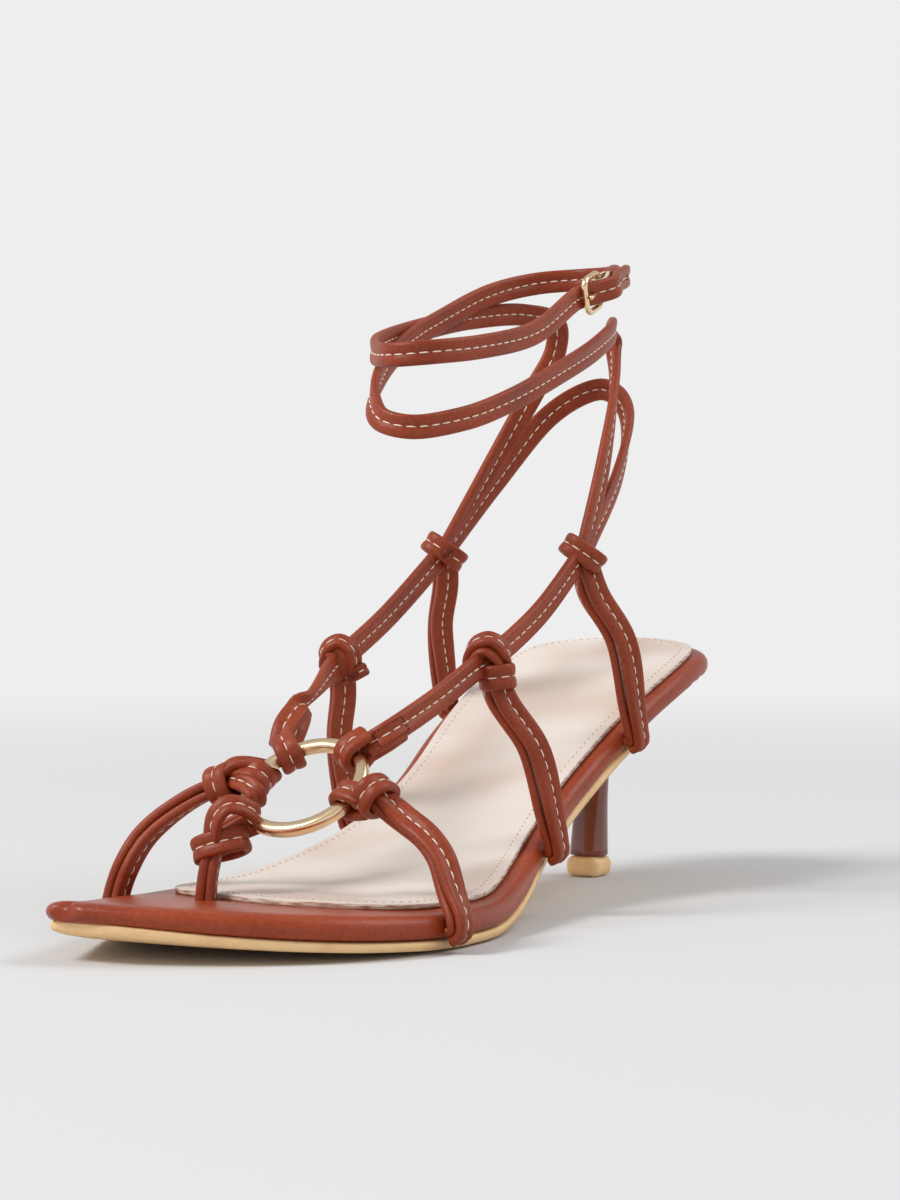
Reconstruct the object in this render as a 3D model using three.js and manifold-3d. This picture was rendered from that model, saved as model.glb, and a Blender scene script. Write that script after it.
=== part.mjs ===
// Tie-up sandal for a left foot, on a slim mid-height heel, standing empty on its sole.
// Millimetres. +Z is up, the toe points to -Y and the outer side of the foot is +X.
// The origin is the middle of the heel tip's ground face.

import * as THREE from 'three';
import Module from 'manifold-3d';
import { mergeVertices } from 'three/addons/utils/BufferGeometryUtils.js';

// Sizes of the footbed, seen from above
const FOOT_LENGTH = 225; // back of the seat to the tip of the toe
const BALL_WIDTH = 81; // widest place, across the ball of the foot
const WAIST_WIDTH = 50; // narrowest place, under the arch
const SEAT_WIDTH = 55; // under the heel of the foot
const SEAT_OVERHANG = 27.7; // back of the seat behind the middle of the heel tip

// Sizes of the sole, seen from the side
const HEEL_HEIGHT = 52; // floor to the underside of the footbed at its back
const TOE_SPRING = 6.5; // floor to the outsole at the tip of the toe
const FOOTBED_THICKNESS = 6;
const OUTSOLE_THICKNESS = 2.3;
const INSOLE_THICKNESS = 1.2;
const INSOLE_MARGIN = 3.2; // bare edge of the footbed round the insole
const TIP_HEIGHT = 5.2; // wearing tip of the heel
const TIP_LENGTH = 9.5;
const TIP_WIDTH = 9.2;
const NECK_LENGTH = 6; // thinnest place of the heel, from front to back
const NECK_WIDTH = 8;
const HEEL_REACH = 19.5; // front of the heel's top before the middle of the tip

// Sizes of the straps and of what they fasten
const STRAP_WIDTH = 5.5;
const STRAP_THICKNESS = 2.1;
const INSTEP_RISE = 45; // footbed to the knots beside the instep
const ANKLE_RISE = 94; // seat to the top edge of the ankle strap
const ANKLE_WIDTH = 40; // between the two sides of the ankle strap
const KNOT_WIDTH = 10.5; // across a knot, over the strap that it holds
const KNOT_DEPTH = 7.6; // through a knot, from its outer to its inner face
const RING_DIAMETER = 29; // outside
const RING_WIRE = 2.6;
const RING_TILT = 39; // degrees from level, with its back edge up
const ELASTIC_THICKNESS = 1; // of the piece between the tab and the buckle
const BUCKLE_LENGTH = 11;
const BUCKLE_WIDTH = 9.4;
const BUCKLE_WIRE = 1.5;
const FIT_GAP = 0.3; // between pieces that touch

const wasm = await Module();
wasm.setup();

// Plain helpers for shapes

const vec = (x, y, z) => new THREE.Vector3(x, y, z);
const mix = THREE.MathUtils.lerp;

// Smooth value of one column of a table of rows, without overshoot between the rows
function column(rows, name, along) {
  const at = THREE.MathUtils.clamp(along, rows[0].along, rows[rows.length - 1].along);
  let i = rows.findIndex((row, n) => n > 0 && at <= row.along) - 1;
  i = Math.max(i, 0);
  const slope = (n) => {
    const from = rows[n];
    const to = rows[n + 1];
    return from && to ? (to[name] - from[name]) / (to.along - from.along) : null;
  };
  const tangent = (n) => {
    const before = slope(n - 1);
    const after = slope(n);
    if (before === null) return after;
    if (after === null) return before;
    return before * after <= 0 ? 0 : (2 * before * after) / (before + after);
  };
  const step = rows[i + 1].along - rows[i].along;
  const t = (at - rows[i].along) / step;
  const ease = t * t * (3 - 2 * t);
  return mix(rows[i][name], rows[i + 1][name], ease)
    + step * (tangent(i) * t * (1 - t) ** 2 - tangent(i + 1) * t * t * (1 - t));
}

// Closed body through rings of points that all have the same count
function loft(rings) {
  const count = rings[0].length;
  const middle = (ring) => ring.reduce((sum, p) => sum.add(p), vec(0, 0, 0)).divideScalar(count);
  const points = [...rings.flat(), middle(rings[0]), middle(rings[rings.length - 1])];
  const first = points.length - 2;
  const last = points.length - 1;
  const triangles = [];
  for (let r = 0; r < rings.length - 1; r += 1) {
    for (let c = 0; c < count; c += 1) {
      const next = (c + 1) % count;
      const a = r * count + c;
      const b = r * count + next;
      triangles.push([a, b, b + count], [a, b + count, a + count]);
    }
  }
  for (let c = 0; c < count; c += 1) {
    const next = (c + 1) % count;
    const end = (rings.length - 1) * count;
    triangles.push([first, next, c], [last, end + c, end + next]);
  }
  return body(points, triangles);
}

// Closed body round a loop of rings
function loop(rings) {
  const count = rings[0].length;
  const points = rings.flat();
  const triangles = [];
  for (let r = 0; r < rings.length; r += 1) {
    const onward = (r + 1) % rings.length;
    for (let c = 0; c < count; c += 1) {
      const next = (c + 1) % count;
      const a = r * count + c;
      const b = r * count + next;
      const ahead = onward * count;
      triangles.push([a, b, ahead + next], [a, ahead + next, ahead + c]);
    }
  }
  return body(points, triangles);
}

// Geometry from points and triangles, turned so that its faces point outwards
function body(points, triangles) {
  const volume = triangles.reduce((sum, [a, b, c]) => (
    sum + points[a].dot(vec(0, 0, 0).crossVectors(points[b], points[c]))), 0);
  const faces = volume < 0 ? triangles.map(([a, b, c]) => [a, c, b]) : triangles;
  const geometry = new THREE.BufferGeometry();
  geometry.setAttribute('position', new THREE.Float32BufferAttribute(
    points.flatMap((p) => [p.x, p.y, p.z]),
    3,
  ));
  geometry.setIndex(faces.flat());
  return geometry;
}

// Solid of a closed geometry, for joining and cutting
function solid(geometry) {
  const bare = geometry.clone();
  bare.deleteAttribute('normal');
  bare.deleteAttribute('uv');
  const merged = mergeVertices(bare, 1e-4);
  return new wasm.Manifold(new wasm.Mesh({
    numProp: 3,
    vertProperties: new Float32Array(merged.attributes.position.array),
    triVerts: new Uint32Array(merged.index.array),
  }));
}

const join = (solids) => solids.reduce((sum, next) => sum.add(next));

function geometryOf(shape) {
  const mesh = shape.getMesh();
  const geometry = new THREE.BufferGeometry();
  geometry.setAttribute('position', new THREE.Float32BufferAttribute(mesh.vertProperties, 3));
  geometry.setIndex([...mesh.triVerts]);
  return geometry;
}

const sandal = new THREE.Group();

function add(name, geometry, colour, roughness, metalness = 0) {
  const finish = new THREE.MeshStandardMaterial({ color: colour, roughness, metalness });
  const mesh = new THREE.Mesh(geometry, finish);
  mesh.name = name;
  sandal.add(mesh);
}

const LEATHER = '#96422a';
const LACQUER = '#6e3226';
const OUTSOLE_TAN = '#deb482';
const SOCK_BEIGE = '#ded0c6';
const PALE_GOLD = '#cdaf87';
const ELASTIC_BEIGE = '#b08a70';

// Shape of the foot, which the sole and every strap follow

// Outline from above: `along` is a share of FOOT_LENGTH from the back of the seat,
// `inner` and `outer` are the distances of the two edges from the middle, as shares of `of`
const OUTLINE = [
  { along: 0.000, of: SEAT_WIDTH, inner: 0.127, outer: 0.127 },
  { along: 0.005, of: SEAT_WIDTH, inner: 0.236, outer: 0.236 },
  { along: 0.022, of: SEAT_WIDTH, inner: 0.373, outer: 0.373 },
  { along: 0.053, of: SEAT_WIDTH, inner: 0.464, outer: 0.464 },
  { along: 0.111, of: SEAT_WIDTH, inner: 0.500, outer: 0.500 },
  { along: 0.200, of: SEAT_WIDTH, inner: 0.491, outer: 0.491 },
  { along: 0.289, of: WAIST_WIDTH, inner: 0.520, outer: 0.516 },
  { along: 0.377, of: WAIST_WIDTH, inner: 0.476, outer: 0.512 },
  { along: 0.465, of: WAIST_WIDTH, inner: 0.504, outer: 0.572 },
  { along: 0.553, of: BALL_WIDTH, inner: 0.370, outer: 0.428 },
  { along: 0.642, of: BALL_WIDTH, inner: 0.432, outer: 0.490 },
  { along: 0.721, of: BALL_WIDTH, inner: 0.472, outer: 0.506 },
  { along: 0.779, of: BALL_WIDTH, inner: 0.470, outer: 0.494 },
  { along: 0.841, of: BALL_WIDTH, inner: 0.444, outer: 0.432 },
  { along: 0.885, of: BALL_WIDTH, inner: 0.400, outer: 0.350 },
  { along: 0.920, of: BALL_WIDTH, inner: 0.365, outer: 0.250 },
  { along: 0.951, of: BALL_WIDTH, inner: 0.336, outer: 0.130 },
  { along: 0.973, of: BALL_WIDTH, inner: 0.320, outer: 0.010 },
  { along: 0.991, of: BALL_WIDTH, inner: 0.304, outer: -0.110 },
  { along: 1.000, of: BALL_WIDTH, inner: 0.272, outer: -0.190 },
];

// Underside of the footbed from the side: `rise` is a share of the heel's height and
// `spring` of the toe's; `body` is the thickness there as a share of FOOTBED_THICKNESS
const PROFILE = [
  { along: 0.000, rise: 1.000, spring: 0.000, body: 1.00 },
  { along: 0.093, rise: 0.925, spring: 0.000, body: 1.00 },
  { along: 0.190, rise: 0.780, spring: 0.000, body: 1.00 },
  { along: 0.279, rise: 0.600, spring: 0.000, body: 1.00 },
  { along: 0.367, rise: 0.398, spring: 0.000, body: 1.00 },
  { along: 0.451, rise: 0.230, spring: 0.000, body: 1.00 },
  { along: 0.509, rise: 0.133, spring: 0.000, body: 1.00 },
  { along: 0.580, rise: 0.050, spring: 0.000, body: 1.00 },
  { along: 0.650, rise: 0.000, spring: 0.000, body: 1.00 },
  { along: 0.743, rise: 0.000, spring: 0.000, body: 1.00 },
  { along: 0.819, rise: 0.000, spring: 0.120, body: 1.00 },
  { along: 0.885, rise: 0.000, spring: 0.300, body: 1.00 },
  { along: 0.938, rise: 0.000, spring: 0.540, body: 0.93 },
  { along: 1.000, rise: 0.000, spring: 1.000, body: 0.72 },
];

const rowsOfEdges = OUTLINE.map((row) => vec(
  row.along * FOOT_LENGTH,
  -row.inner * row.of,
  row.outer * row.of,
));
const edgeCurve = new THREE.CatmullRomCurve3(rowsOfEdges, false, 'centripetal');

// Stations from the back of the seat to the toe, each with its two edges
const STATIONS_PER_ROW = 3;
function stationsOf(curve, rowCount) {
  const last = (rowCount - 1) * STATIONS_PER_ROW;
  return Array.from({ length: last + 1 }, (_, i) => {
    const p = curve.getPoint(i / last);
    return { along: p.x, inner: p.y, outer: p.z };
  });
}
const stations = stationsOf(edgeCurve, OUTLINE.length);

const placeAlong = (share) => SEAT_OVERHANG - share * FOOT_LENGTH;
const shareAt = (y) => (SEAT_OVERHANG - y) / FOOT_LENGTH;

function underside(share) {
  return OUTSOLE_THICKNESS
    + (HEEL_HEIGHT - OUTSOLE_THICKNESS) * column(PROFILE, 'rise', share)
    + TOE_SPRING * column(PROFILE, 'spring', share);
}

const bodyAt = (share) => FOOTBED_THICKNESS * column(PROFILE, 'body', share);
const topside = (share) => underside(share) + bodyAt(share);

// Distance from the middle to the edge of the footbed: side is -1 inner, 1 outer
function edgeAt(share, side) {
  const distance = share * FOOT_LENGTH;
  const i = Math.max(stations.findIndex((station) => station.along >= distance), 1);
  const from = stations[i - 1];
  const to = stations[i];
  const t = (distance - from.along) / (to.along - from.along);
  const name = side < 0 ? 'inner' : 'outer';
  return mix(from[name], to[name], t);
}

// Flat body that follows the outline and the profile, with a rounded edge made of layers:
// `inset` narrows the outline and `height` is measured by the layer's own function
function slab(rows, layers) {
  const from = rows[0].along;
  const to = rows[rows.length - 1].along;
  const ring = ({ along, inner, outer }) => {
    const outerSide = layers.map(({ inset, height }) => {
      const squeezed = mix(from + inset, to - inset, (along - from) / (to - from));
      const share = squeezed / FOOT_LENGTH;
      return vec(outer - inset, placeAlong(share), height(share));
    });
    const innerSide = layers.map(({ inset, height }) => {
      const squeezed = mix(from + inset, to - inset, (along - from) / (to - from));
      const share = squeezed / FOOT_LENGTH;
      return vec(inner + inset, placeAlong(share), height(share));
    });
    return [...outerSide, ...innerSide.reverse()];
  };
  return loft(rows.map(ring));
}

// Footbed: a board wrapped in leather, with a full round edge. `inset` and `rise` are shares
// of its thickness
const EDGE_LAYERS = [
  { inset: 0.23, rise: 0 },
  { inset: 0.07, rise: 0.18 },
  { inset: 0.00, rise: 0.45 },
  { inset: 0.08, rise: 0.76 },
  { inset: 0.28, rise: 0.94 },
  { inset: 0.57, rise: 1 },
];
const footbed = slab(stations, EDGE_LAYERS.map(({ inset, rise }) => (
  { inset: inset * FOOTBED_THICKNESS, height: (share) => underside(share) + rise * bodyAt(share) })));
add('footbed', footbed, LEATHER, 0.45);

// Insole: a thin sock glued on the footbed, whose front edge lies behind the toes.
// `outer` and `inner` are its edges as shares of the footbed's there, less the margin
const INSOLE_OUTLINE = [
  { along: 0.015, inner: 0.42, outer: 0.42 },
  { along: 0.027, inner: 0.76, outer: 0.76 },
  { along: 0.055, inner: 0.94, outer: 0.94 },
  { along: 0.120, inner: 1.00, outer: 1.00 },
  { along: 0.250, inner: 1.00, outer: 0.99 },
  { along: 0.380, inner: 0.96, outer: 0.97 },
  { along: 0.500, inner: 0.95, outer: 0.95 },
  { along: 0.620, inner: 0.94, outer: 0.95 },
  { along: 0.700, inner: 0.92, outer: 0.92 },
  { along: 0.735, inner: 0.89, outer: 0.89 },
  { along: 0.756, inner: 0.78, outer: 0.83 },
  { along: 0.772, inner: 0.55, outer: 0.74 },
  { along: 0.785, inner: 0.30, outer: 0.62 },
  { along: 0.796, inner: 0.08, outer: 0.46 },
  { along: 0.803, inner: -0.10, outer: 0.28 },
];
const insoleCurve = new THREE.CatmullRomCurve3(INSOLE_OUTLINE.map((row) => vec(
  row.along * FOOT_LENGTH,
  (edgeAt(row.along, -1) + INSOLE_MARGIN) * row.inner,
  (edgeAt(row.along, 1) - INSOLE_MARGIN) * row.outer,
)), false, 'centripetal');
const insoleStations = stationsOf(insoleCurve, INSOLE_OUTLINE.length);
const onTop = (lift) => (share) => topside(share) + FIT_GAP + lift;
const insole = slab(insoleStations, [
  { inset: 0, height: onTop(0) },
  { inset: 0, height: onTop(0.7 * INSOLE_THICKNESS) },
  { inset: 0.5, height: onTop(INSOLE_THICKNESS) },
]);
add('insole', insole, SOCK_BEIGE, 0.6);

// Outsole: a thin sheet under the footbed from the toe to the front of the heel, where it
// leaves the footbed, runs under the heel's front and ends in a small lip
const LIP_AT = 0.145; // share of the foot length
const BREAST_AT = 0.215; // where the front of the heel's top comes out of the footbed
const LIP_RISE = 0.02; // share of the heel height
const outsoleTop = (share) => {
  const meets = underside(BREAST_AT) - FIT_GAP;
  const past = (BREAST_AT - share) / (BREAST_AT - LIP_AT);
  return past > 0 ? meets + LIP_RISE * HEEL_HEIGHT * past * past : underside(share) - FIT_GAP;
};
const outsoleBottom = (share) => {
  const share0 = THREE.MathUtils.clamp(share, 0, 1);
  return outsoleTop(share0) - OUTSOLE_THICKNESS + FIT_GAP;
};
const OUTSOLE_STEPS = [
  LIP_AT, 0.155, 0.175, 0.195, BREAST_AT, 0.235, 0.26, 0.289, 0.333, 0.377, 0.42, 0.465, 0.509,
  0.553, 0.60, 0.65, 0.695, 0.743, 0.779, 0.81, 0.841, 0.863, 0.885, 0.903, 0.920, 0.936, 0.951,
  0.962, 0.973, 0.982, 0.991,
];
const outsoleStations = OUTSOLE_STEPS.map((share) => {
  const lip = THREE.MathUtils.clamp((share - LIP_AT) / (BREAST_AT - LIP_AT), 0, 1);
  const drawIn = mix(0.42, 1, Math.sqrt(lip));
  return {
    along: share * FOOT_LENGTH,
    inner: edgeAt(share, -1) * drawIn,
    outer: edgeAt(share, 1) * drawIn,
  };
});
const outsole = slab(outsoleStations, [
  { inset: 1.04 * OUTSOLE_THICKNESS, height: outsoleBottom },
  { inset: 0.65 * OUTSOLE_THICKNESS, height: (share) => mix(outsoleBottom(share), outsoleTop(share), 0.35) },
  { inset: 0.57 * OUTSOLE_THICKNESS, height: outsoleTop },
]);
add('outsole', outsole, OUTSOLE_TAN, 0.55);

// Corner points of a rectangle with round corners, each with its outward direction
function roundedRectangle(width, length, corner) {
  const sides = [[1, 1], [-1, 1], [-1, -1], [1, -1]];
  return sides.flatMap(([sx, sy], quarter) => [0, 1, 2].map((i) => {
    const angle = (quarter + i / 2) * (Math.PI / 2);
    const out = [Math.cos(angle), Math.sin(angle)];
    return {
      x: sx * (width / 2 - corner) + corner * out[0],
      y: sy * (length / 2 - corner) + corner * out[1],
      out,
    };
  }));
}

// Heel tip: the wearing block on the ground
const tipLayer = (z) => (
  roundedRectangle(TIP_WIDTH, TIP_LENGTH, TIP_WIDTH / 4).map(({ x, y }) => vec(x, y, z)));
add('heel_tip', loft([tipLayer(0), tipLayer(TIP_HEIGHT)]), OUTSOLE_TAN, 0.5);

// Heel: sections that flare from the slim neck to the whole seat, cut to the footbed and to
// the outsole. `rise` is the height of a section's middle as a share of the way from the tip
// to the seat, `back` and `front` are its ends, `half` is its half width, and `lean` how far
// it follows the seat's slope
const HEEL_SIDES = 24;
const HEEL_LEVELS = 15;
const HEEL_SECTIONS = [
  { along: 0.000, back: TIP_LENGTH / 2, front: -0.42 * TIP_LENGTH, half: TIP_WIDTH / 2, lean: 0 },
  { along: 0.340, back: 0.75 * NECK_LENGTH, front: -0.25 * NECK_LENGTH, half: 0.53 * NECK_WIDTH, lean: 0 },
  { along: 0.565, back: 0.96 * NECK_LENGTH, front: -0.08 * NECK_LENGTH, half: 0.54 * NECK_WIDTH, lean: 0 },
  { along: 0.680, back: 0.29 * SEAT_OVERHANG, front: -0.03 * HEEL_REACH, half: 0.11 * SEAT_WIDTH, lean: 0.1 },
  { along: 0.770, back: 0.39 * SEAT_OVERHANG, front: -0.09 * HEEL_REACH, half: 0.15 * SEAT_WIDTH, lean: 0.3 },
  { along: 0.840, back: 0.5 * SEAT_OVERHANG, front: -0.26 * HEEL_REACH, half: 0.215 * SEAT_WIDTH, lean: 0.5 },
  { along: 0.900, back: 0.63 * SEAT_OVERHANG, front: -0.56 * HEEL_REACH, half: 0.3 * SEAT_WIDTH, lean: 0.75 },
  { along: 0.955, back: 0.8 * SEAT_OVERHANG, front: -0.82 * HEEL_REACH, half: 0.395 * SEAT_WIDTH, lean: 0.9 },
  { along: 1.000, back: 0.945 * SEAT_OVERHANG, front: -HEEL_REACH, half: 0.47 * SEAT_WIDTH, lean: 1 },
];
const heelRings = Array.from({ length: HEEL_LEVELS }, (_, n) => {
  const rise = Math.sin((n / (HEEL_LEVELS - 1)) * (Math.PI / 2)); // closer where it flares
  const [back, front, half, lean] = ['back', 'front', 'half', 'lean'].map((name) => (
    column(HEEL_SECTIONS, name, rise)));
  const middle = (back + front) / 2;
  const seatLevel = underside(shareAt(middle)) + FIT_GAP; // a little high, then cut to the seat
  const level = mix(TIP_HEIGHT + FIT_GAP, seatLevel, rise);
  return Array.from({ length: HEEL_SIDES }, (__, i) => {
    const angle = (i / HEEL_SIDES) * 2 * Math.PI;
    const c = Math.cos(angle);
    const s = Math.sin(angle);
    const squareness = s > 0 ? 1 : 0.62; // the front is flatter than the back
    const y = middle + ((back - front) / 2) * Math.sign(s) * Math.abs(s) ** squareness;
    const slope = underside(shareAt(y)) + FIT_GAP - seatLevel;
    return vec(half * Math.sign(c) * Math.abs(c) ** 0.8, y, level + lean * slope);
  });
});
const seatRoom = slab(stations, [
  { inset: -FIT_GAP, height: (share) => underside(share) - FIT_GAP },
  { inset: -FIT_GAP, height: (share) => underside(share) + FOOTBED_THICKNESS },
]);
const outsoleRoom = slab(outsoleStations, [
  { inset: -2 * OUTSOLE_THICKNESS, height: (share) => outsoleTop(share) - 3 * OUTSOLE_THICKNESS },
  { inset: -2 * OUTSOLE_THICKNESS, height: (share) => outsoleTop(share) + FIT_GAP },
]);
const heel = solid(loft(heelRings)).subtract(solid(seatRoom)).subtract(solid(outsoleRoom));
add('heel', geometryOf(heel), LACQUER, 0.2);

// Straps. Every route is a table of rows, each a place on its own piece of the foot

// Place over the footbed: `along` and `across` are shares of the foot length and the ball
// width, `up` is a share of the rise of the instep above the footbed there
function overFoot({ along, across, up }) {
  return vec(across * BALL_WIDTH, placeAlong(along), topside(along) + up * INSTEP_RISE);
}

// Place round the ankle: `across` is a share of the ankle's width, and `up` a share of the
// way from the seat to the top edge of the ankle strap
function roundAnkle({ along, across, up }) {
  return vec(across * ANKLE_WIDTH, placeAlong(along), topside(0) + up * ANKLE_RISE);
}

// Straps run in pairs, one lying on the other: each is this share of a thickness off the middle
const STACK = 0.52;

// Place of a pair beside the footbed's edge, `lift` above its underside and square to its slope
function besideFoot(share, side, lift) {
  const step = 0.01;
  const slope = (underside(share + step) - underside(share - step)) / (2 * step * FOOT_LENGTH);
  const normal = vec(0, slope, 1).normalize();
  const clear = FIT_GAP + (0.5 + STACK) * STRAP_THICKNESS;
  const reach = (0.5 * STRAP_WIDTH) / FOOT_LENGTH;
  const edges = [-1, -0.5, 0, 0.5, 1].map((part) => side * edgeAt(share + part * reach, side));
  const widest = Math.max(...edges);
  return vec(side * (widest + clear), placeAlong(share), underside(share))
    .addScaledVector(normal, lift);
}

// Outward direction from the long axis of the ankle, for straps that lie round it
const ANKLE_FRONT = 0.50;
const ANKLE_BACK = 0.23;
function awayFromAnkle(place) {
  const y = THREE.MathUtils.clamp(place.y, placeAlong(ANKLE_FRONT), placeAlong(ANKLE_BACK));
  return vec(place.x, place.y - y, 0).normalize();
}

// Section of a flat strap with rounded edges, in the plane of `across` and `face`
function strapSection(at, across, face, width = STRAP_WIDTH, thickness = STRAP_THICKNESS) {
  const w = width / 2;
  const h = thickness / 2;
  const corner = 0.7 * h;
  const outline = [
    [w, 0.4 * h], [w - corner, h], [-w + corner, h], [-w, 0.4 * h],
    [-w, -0.4 * h], [-w + corner, -h], [w - corner, -h], [w, -0.4 * h],
  ];
  return outline.map(([a, b]) => at.clone().addScaledVector(across, a).addScaledVector(face, b));
}

// Strap along a route. `place` and `face` are given at each row. `spread` moves it towards
// its face by shares of its thickness, as one of a pair that lies together
const TURN_STEP = 14; // degrees that the strap may turn between two sections
const LONGEST_STEP = 18;
function strap(route, side = 0, width = STRAP_WIDTH, thickness = STRAP_THICKNESS) {
  const curve = new THREE.CatmullRomCurve3(route.map((row) => row.place), false, 'centripetal');
  const last = route.length - 1;
  const fine = Math.ceil(curve.getLength());
  const samples = Array.from({ length: fine + 1 }, (_, i) => {
    const t = i / fine;
    const n = Math.min(Math.floor(t * last), last - 1);
    const part = t * last - n;
    const tangent = curve.getTangent(t);
    const face = route[n].face.clone().lerp(route[n + 1].face, part);
    face.addScaledVector(tangent, -face.dot(tangent)).normalize();
    const across = vec(0, 0, 0).crossVectors(tangent, face);
    const shift = side * thickness * mix(route[n].spread ?? 0, route[n + 1].spread ?? 0, part);
    const at = curve.getPoint(t).addScaledVector(face, shift);
    return { at, tangent, face, across };
  });
  const limit = THREE.MathUtils.degToRad(TURN_STEP);
  const kept = [samples[0]];
  samples.slice(1, -1).forEach((sample) => {
    const before = kept[kept.length - 1];
    const turned = sample.tangent.angleTo(before.tangent) > limit
      || sample.face.angleTo(before.face) > limit;
    if (turned || sample.at.distanceTo(before.at) > LONGEST_STEP) kept.push(sample);
  });
  kept.push(samples[samples.length - 1]);
  return solid(loft(kept.map(({ at, across, face }) => (
    strapSection(at, across, face, width, thickness)))));
}

const pair = (route) => [strap(route, -1), strap(route, 1)];

// Knot: a filled turn of strap round the straps that it holds. `axis` is the way of those
// straps, `wide` the way of its greater width
const KNOT_SIDES = 10;
function knot(at, axis, wide, width = KNOT_WIDTH, depth = KNOT_DEPTH, length = STRAP_WIDTH) {
  const along = axis.clone().normalize();
  const across = wide.clone().addScaledVector(along, -wide.dot(along)).normalize();
  const through = vec(0, 0, 0).crossVectors(along, across);
  const ring = (shift, inset) => Array.from({ length: KNOT_SIDES }, (_, i) => {
    const angle = (i / KNOT_SIDES) * 2 * Math.PI;
    return at.clone()
      .addScaledVector(along, shift)
      .addScaledVector(across, (width / 2 - inset) * Math.cos(angle))
      .addScaledVector(through, (depth / 2 - inset) * Math.sin(angle));
  });
  const bevel = STRAP_THICKNESS / 3;
  return solid(loft([
    ring(-length / 2, bevel),
    ring(-length / 2 + bevel, 0),
    ring(length / 2 - bevel, 0),
    ring(length / 2, bevel),
  ]));
}

// Ring that the front straps and the instep straps meet on
const RING_AT = { along: 0.722, across: 0, up: 0.53 };
const ringMiddle = overFoot(RING_AT);
const ringRadius = (RING_DIAMETER - RING_WIRE) / 2;
const ringSlope = THREE.MathUtils.degToRad(RING_TILT);
const ringUp = vec(0, Math.cos(ringSlope), Math.sin(ringSlope));
const ringSide = vec(1, 0, 0);
const ringNormal = vec(0, 0, 0).crossVectors(ringSide, ringUp);

// Middle of the wire at an angle from the outer side, turning up to the back
function onRing(degrees) {
  const angle = THREE.MathUtils.degToRad(degrees);
  const out = ringSide.clone().multiplyScalar(Math.cos(angle))
    .addScaledVector(ringUp, Math.sin(angle));
  const way = ringSide.clone().multiplyScalar(-Math.sin(angle))
    .addScaledVector(ringUp, Math.cos(angle));
  return { at: ringMiddle.clone().addScaledVector(out, ringRadius), out, way };
}

const WIRE_SIDES = 8;
const RING_STEPS = 32;
const ringRings = Array.from({ length: RING_STEPS }, (_, i) => {
  const { at, out } = onRing((i / RING_STEPS) * 360);
  return Array.from({ length: WIRE_SIDES }, (__, n) => {
    const angle = ((n + 0.5) / WIRE_SIDES) * 2 * Math.PI;
    return at.clone()
      .addScaledVector(out, (RING_WIRE / 2) * Math.cos(angle))
      .addScaledVector(ringNormal, (RING_WIRE / 2) * Math.sin(angle));
  });
});
add('ring', loop(ringRings), PALE_GOLD, 0.2, 1);

// Turn of strap round a bar that lies along `way`, drawn out by `reach` in the direction
// `drawn`; `radius` is from the bar's middle to the strap's
const TURN_STEPS = 5; // of each half
function turn(at, way, drawn, reach, radius, width = STRAP_WIDTH, thickness = STRAP_THICKNESS) {
  const square = vec(0, 0, 0).crossVectors(way, drawn);
  const rings = [];
  [0, 1].forEach((end) => {
    for (let i = 0; i <= TURN_STEPS; i += 1) {
      const angle = Math.PI / 2 + end * Math.PI + (i / TURN_STEPS) * Math.PI;
      const face = drawn.clone().multiplyScalar(Math.cos(angle))
        .addScaledVector(square, Math.sin(angle));
      const place = at.clone().addScaledVector(drawn, end * reach)
        .addScaledVector(face, radius);
      rings.push(strapSection(place, way, face, width, thickness));
    }
  });
  return solid(loop(rings));
}

// Turn round the ring's wire at an angle, drawn towards a place
function turnOnRing(degrees, towards, reach) {
  const { at, way } = onRing(degrees);
  const sag = (STRAP_WIDTH / 2) ** 2 / (2 * ringRadius);
  const drawn = towards.clone().sub(at);
  drawn.addScaledVector(way, -drawn.dot(way)).normalize();
  return turn(at, way, drawn, reach, RING_WIRE / 2 + FIT_GAP + sag + STRAP_THICKNESS / 2);
}

// Toe post: a pair of straps out of the footbed between the toes, knotted on the ring
const TOE_POST_TURN = -125; // degrees round the ring
const TOE_POST = [
  { along: 0.797, across: -0.178, up: 0.000 },
  { along: 0.793, across: -0.175, up: 0.120 },
  { along: 0.784, across: -0.170, up: 0.260 },
];
const postFace = vec(0.9, 0.44, 0); // the pair stands edge to the front, between the toes
const inFront = vec(-0.35, -0.9, 0.1);
const toePostEnd = onRing(TOE_POST_TURN).at.clone().addScaledVector(inFront, 0.9 * STRAP_WIDTH);
const toePost = [
  ...TOE_POST.map((row) => ({ place: overFoot(row), face: postFace, spread: STACK })),
  { place: toePostEnd, face: postFace, spread: STACK },
];
toePost[0].place.z += 2.5 * FIT_GAP; // its end is square to the leaning post
const toePostKnot = overFoot({ along: 0.782, across: -0.168, up: 0.255 });
add('toe_post', geometryOf(join([
  ...pair(toePost),
  knot(toePostKnot, vec(-0.15, 0.25, 1), vec(1, 0.3, 0)),
  turnOnRing(TOE_POST_TURN, toePostKnot, 0.65 * STRAP_WIDTH),
])), LEATHER, 0.45);

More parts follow.
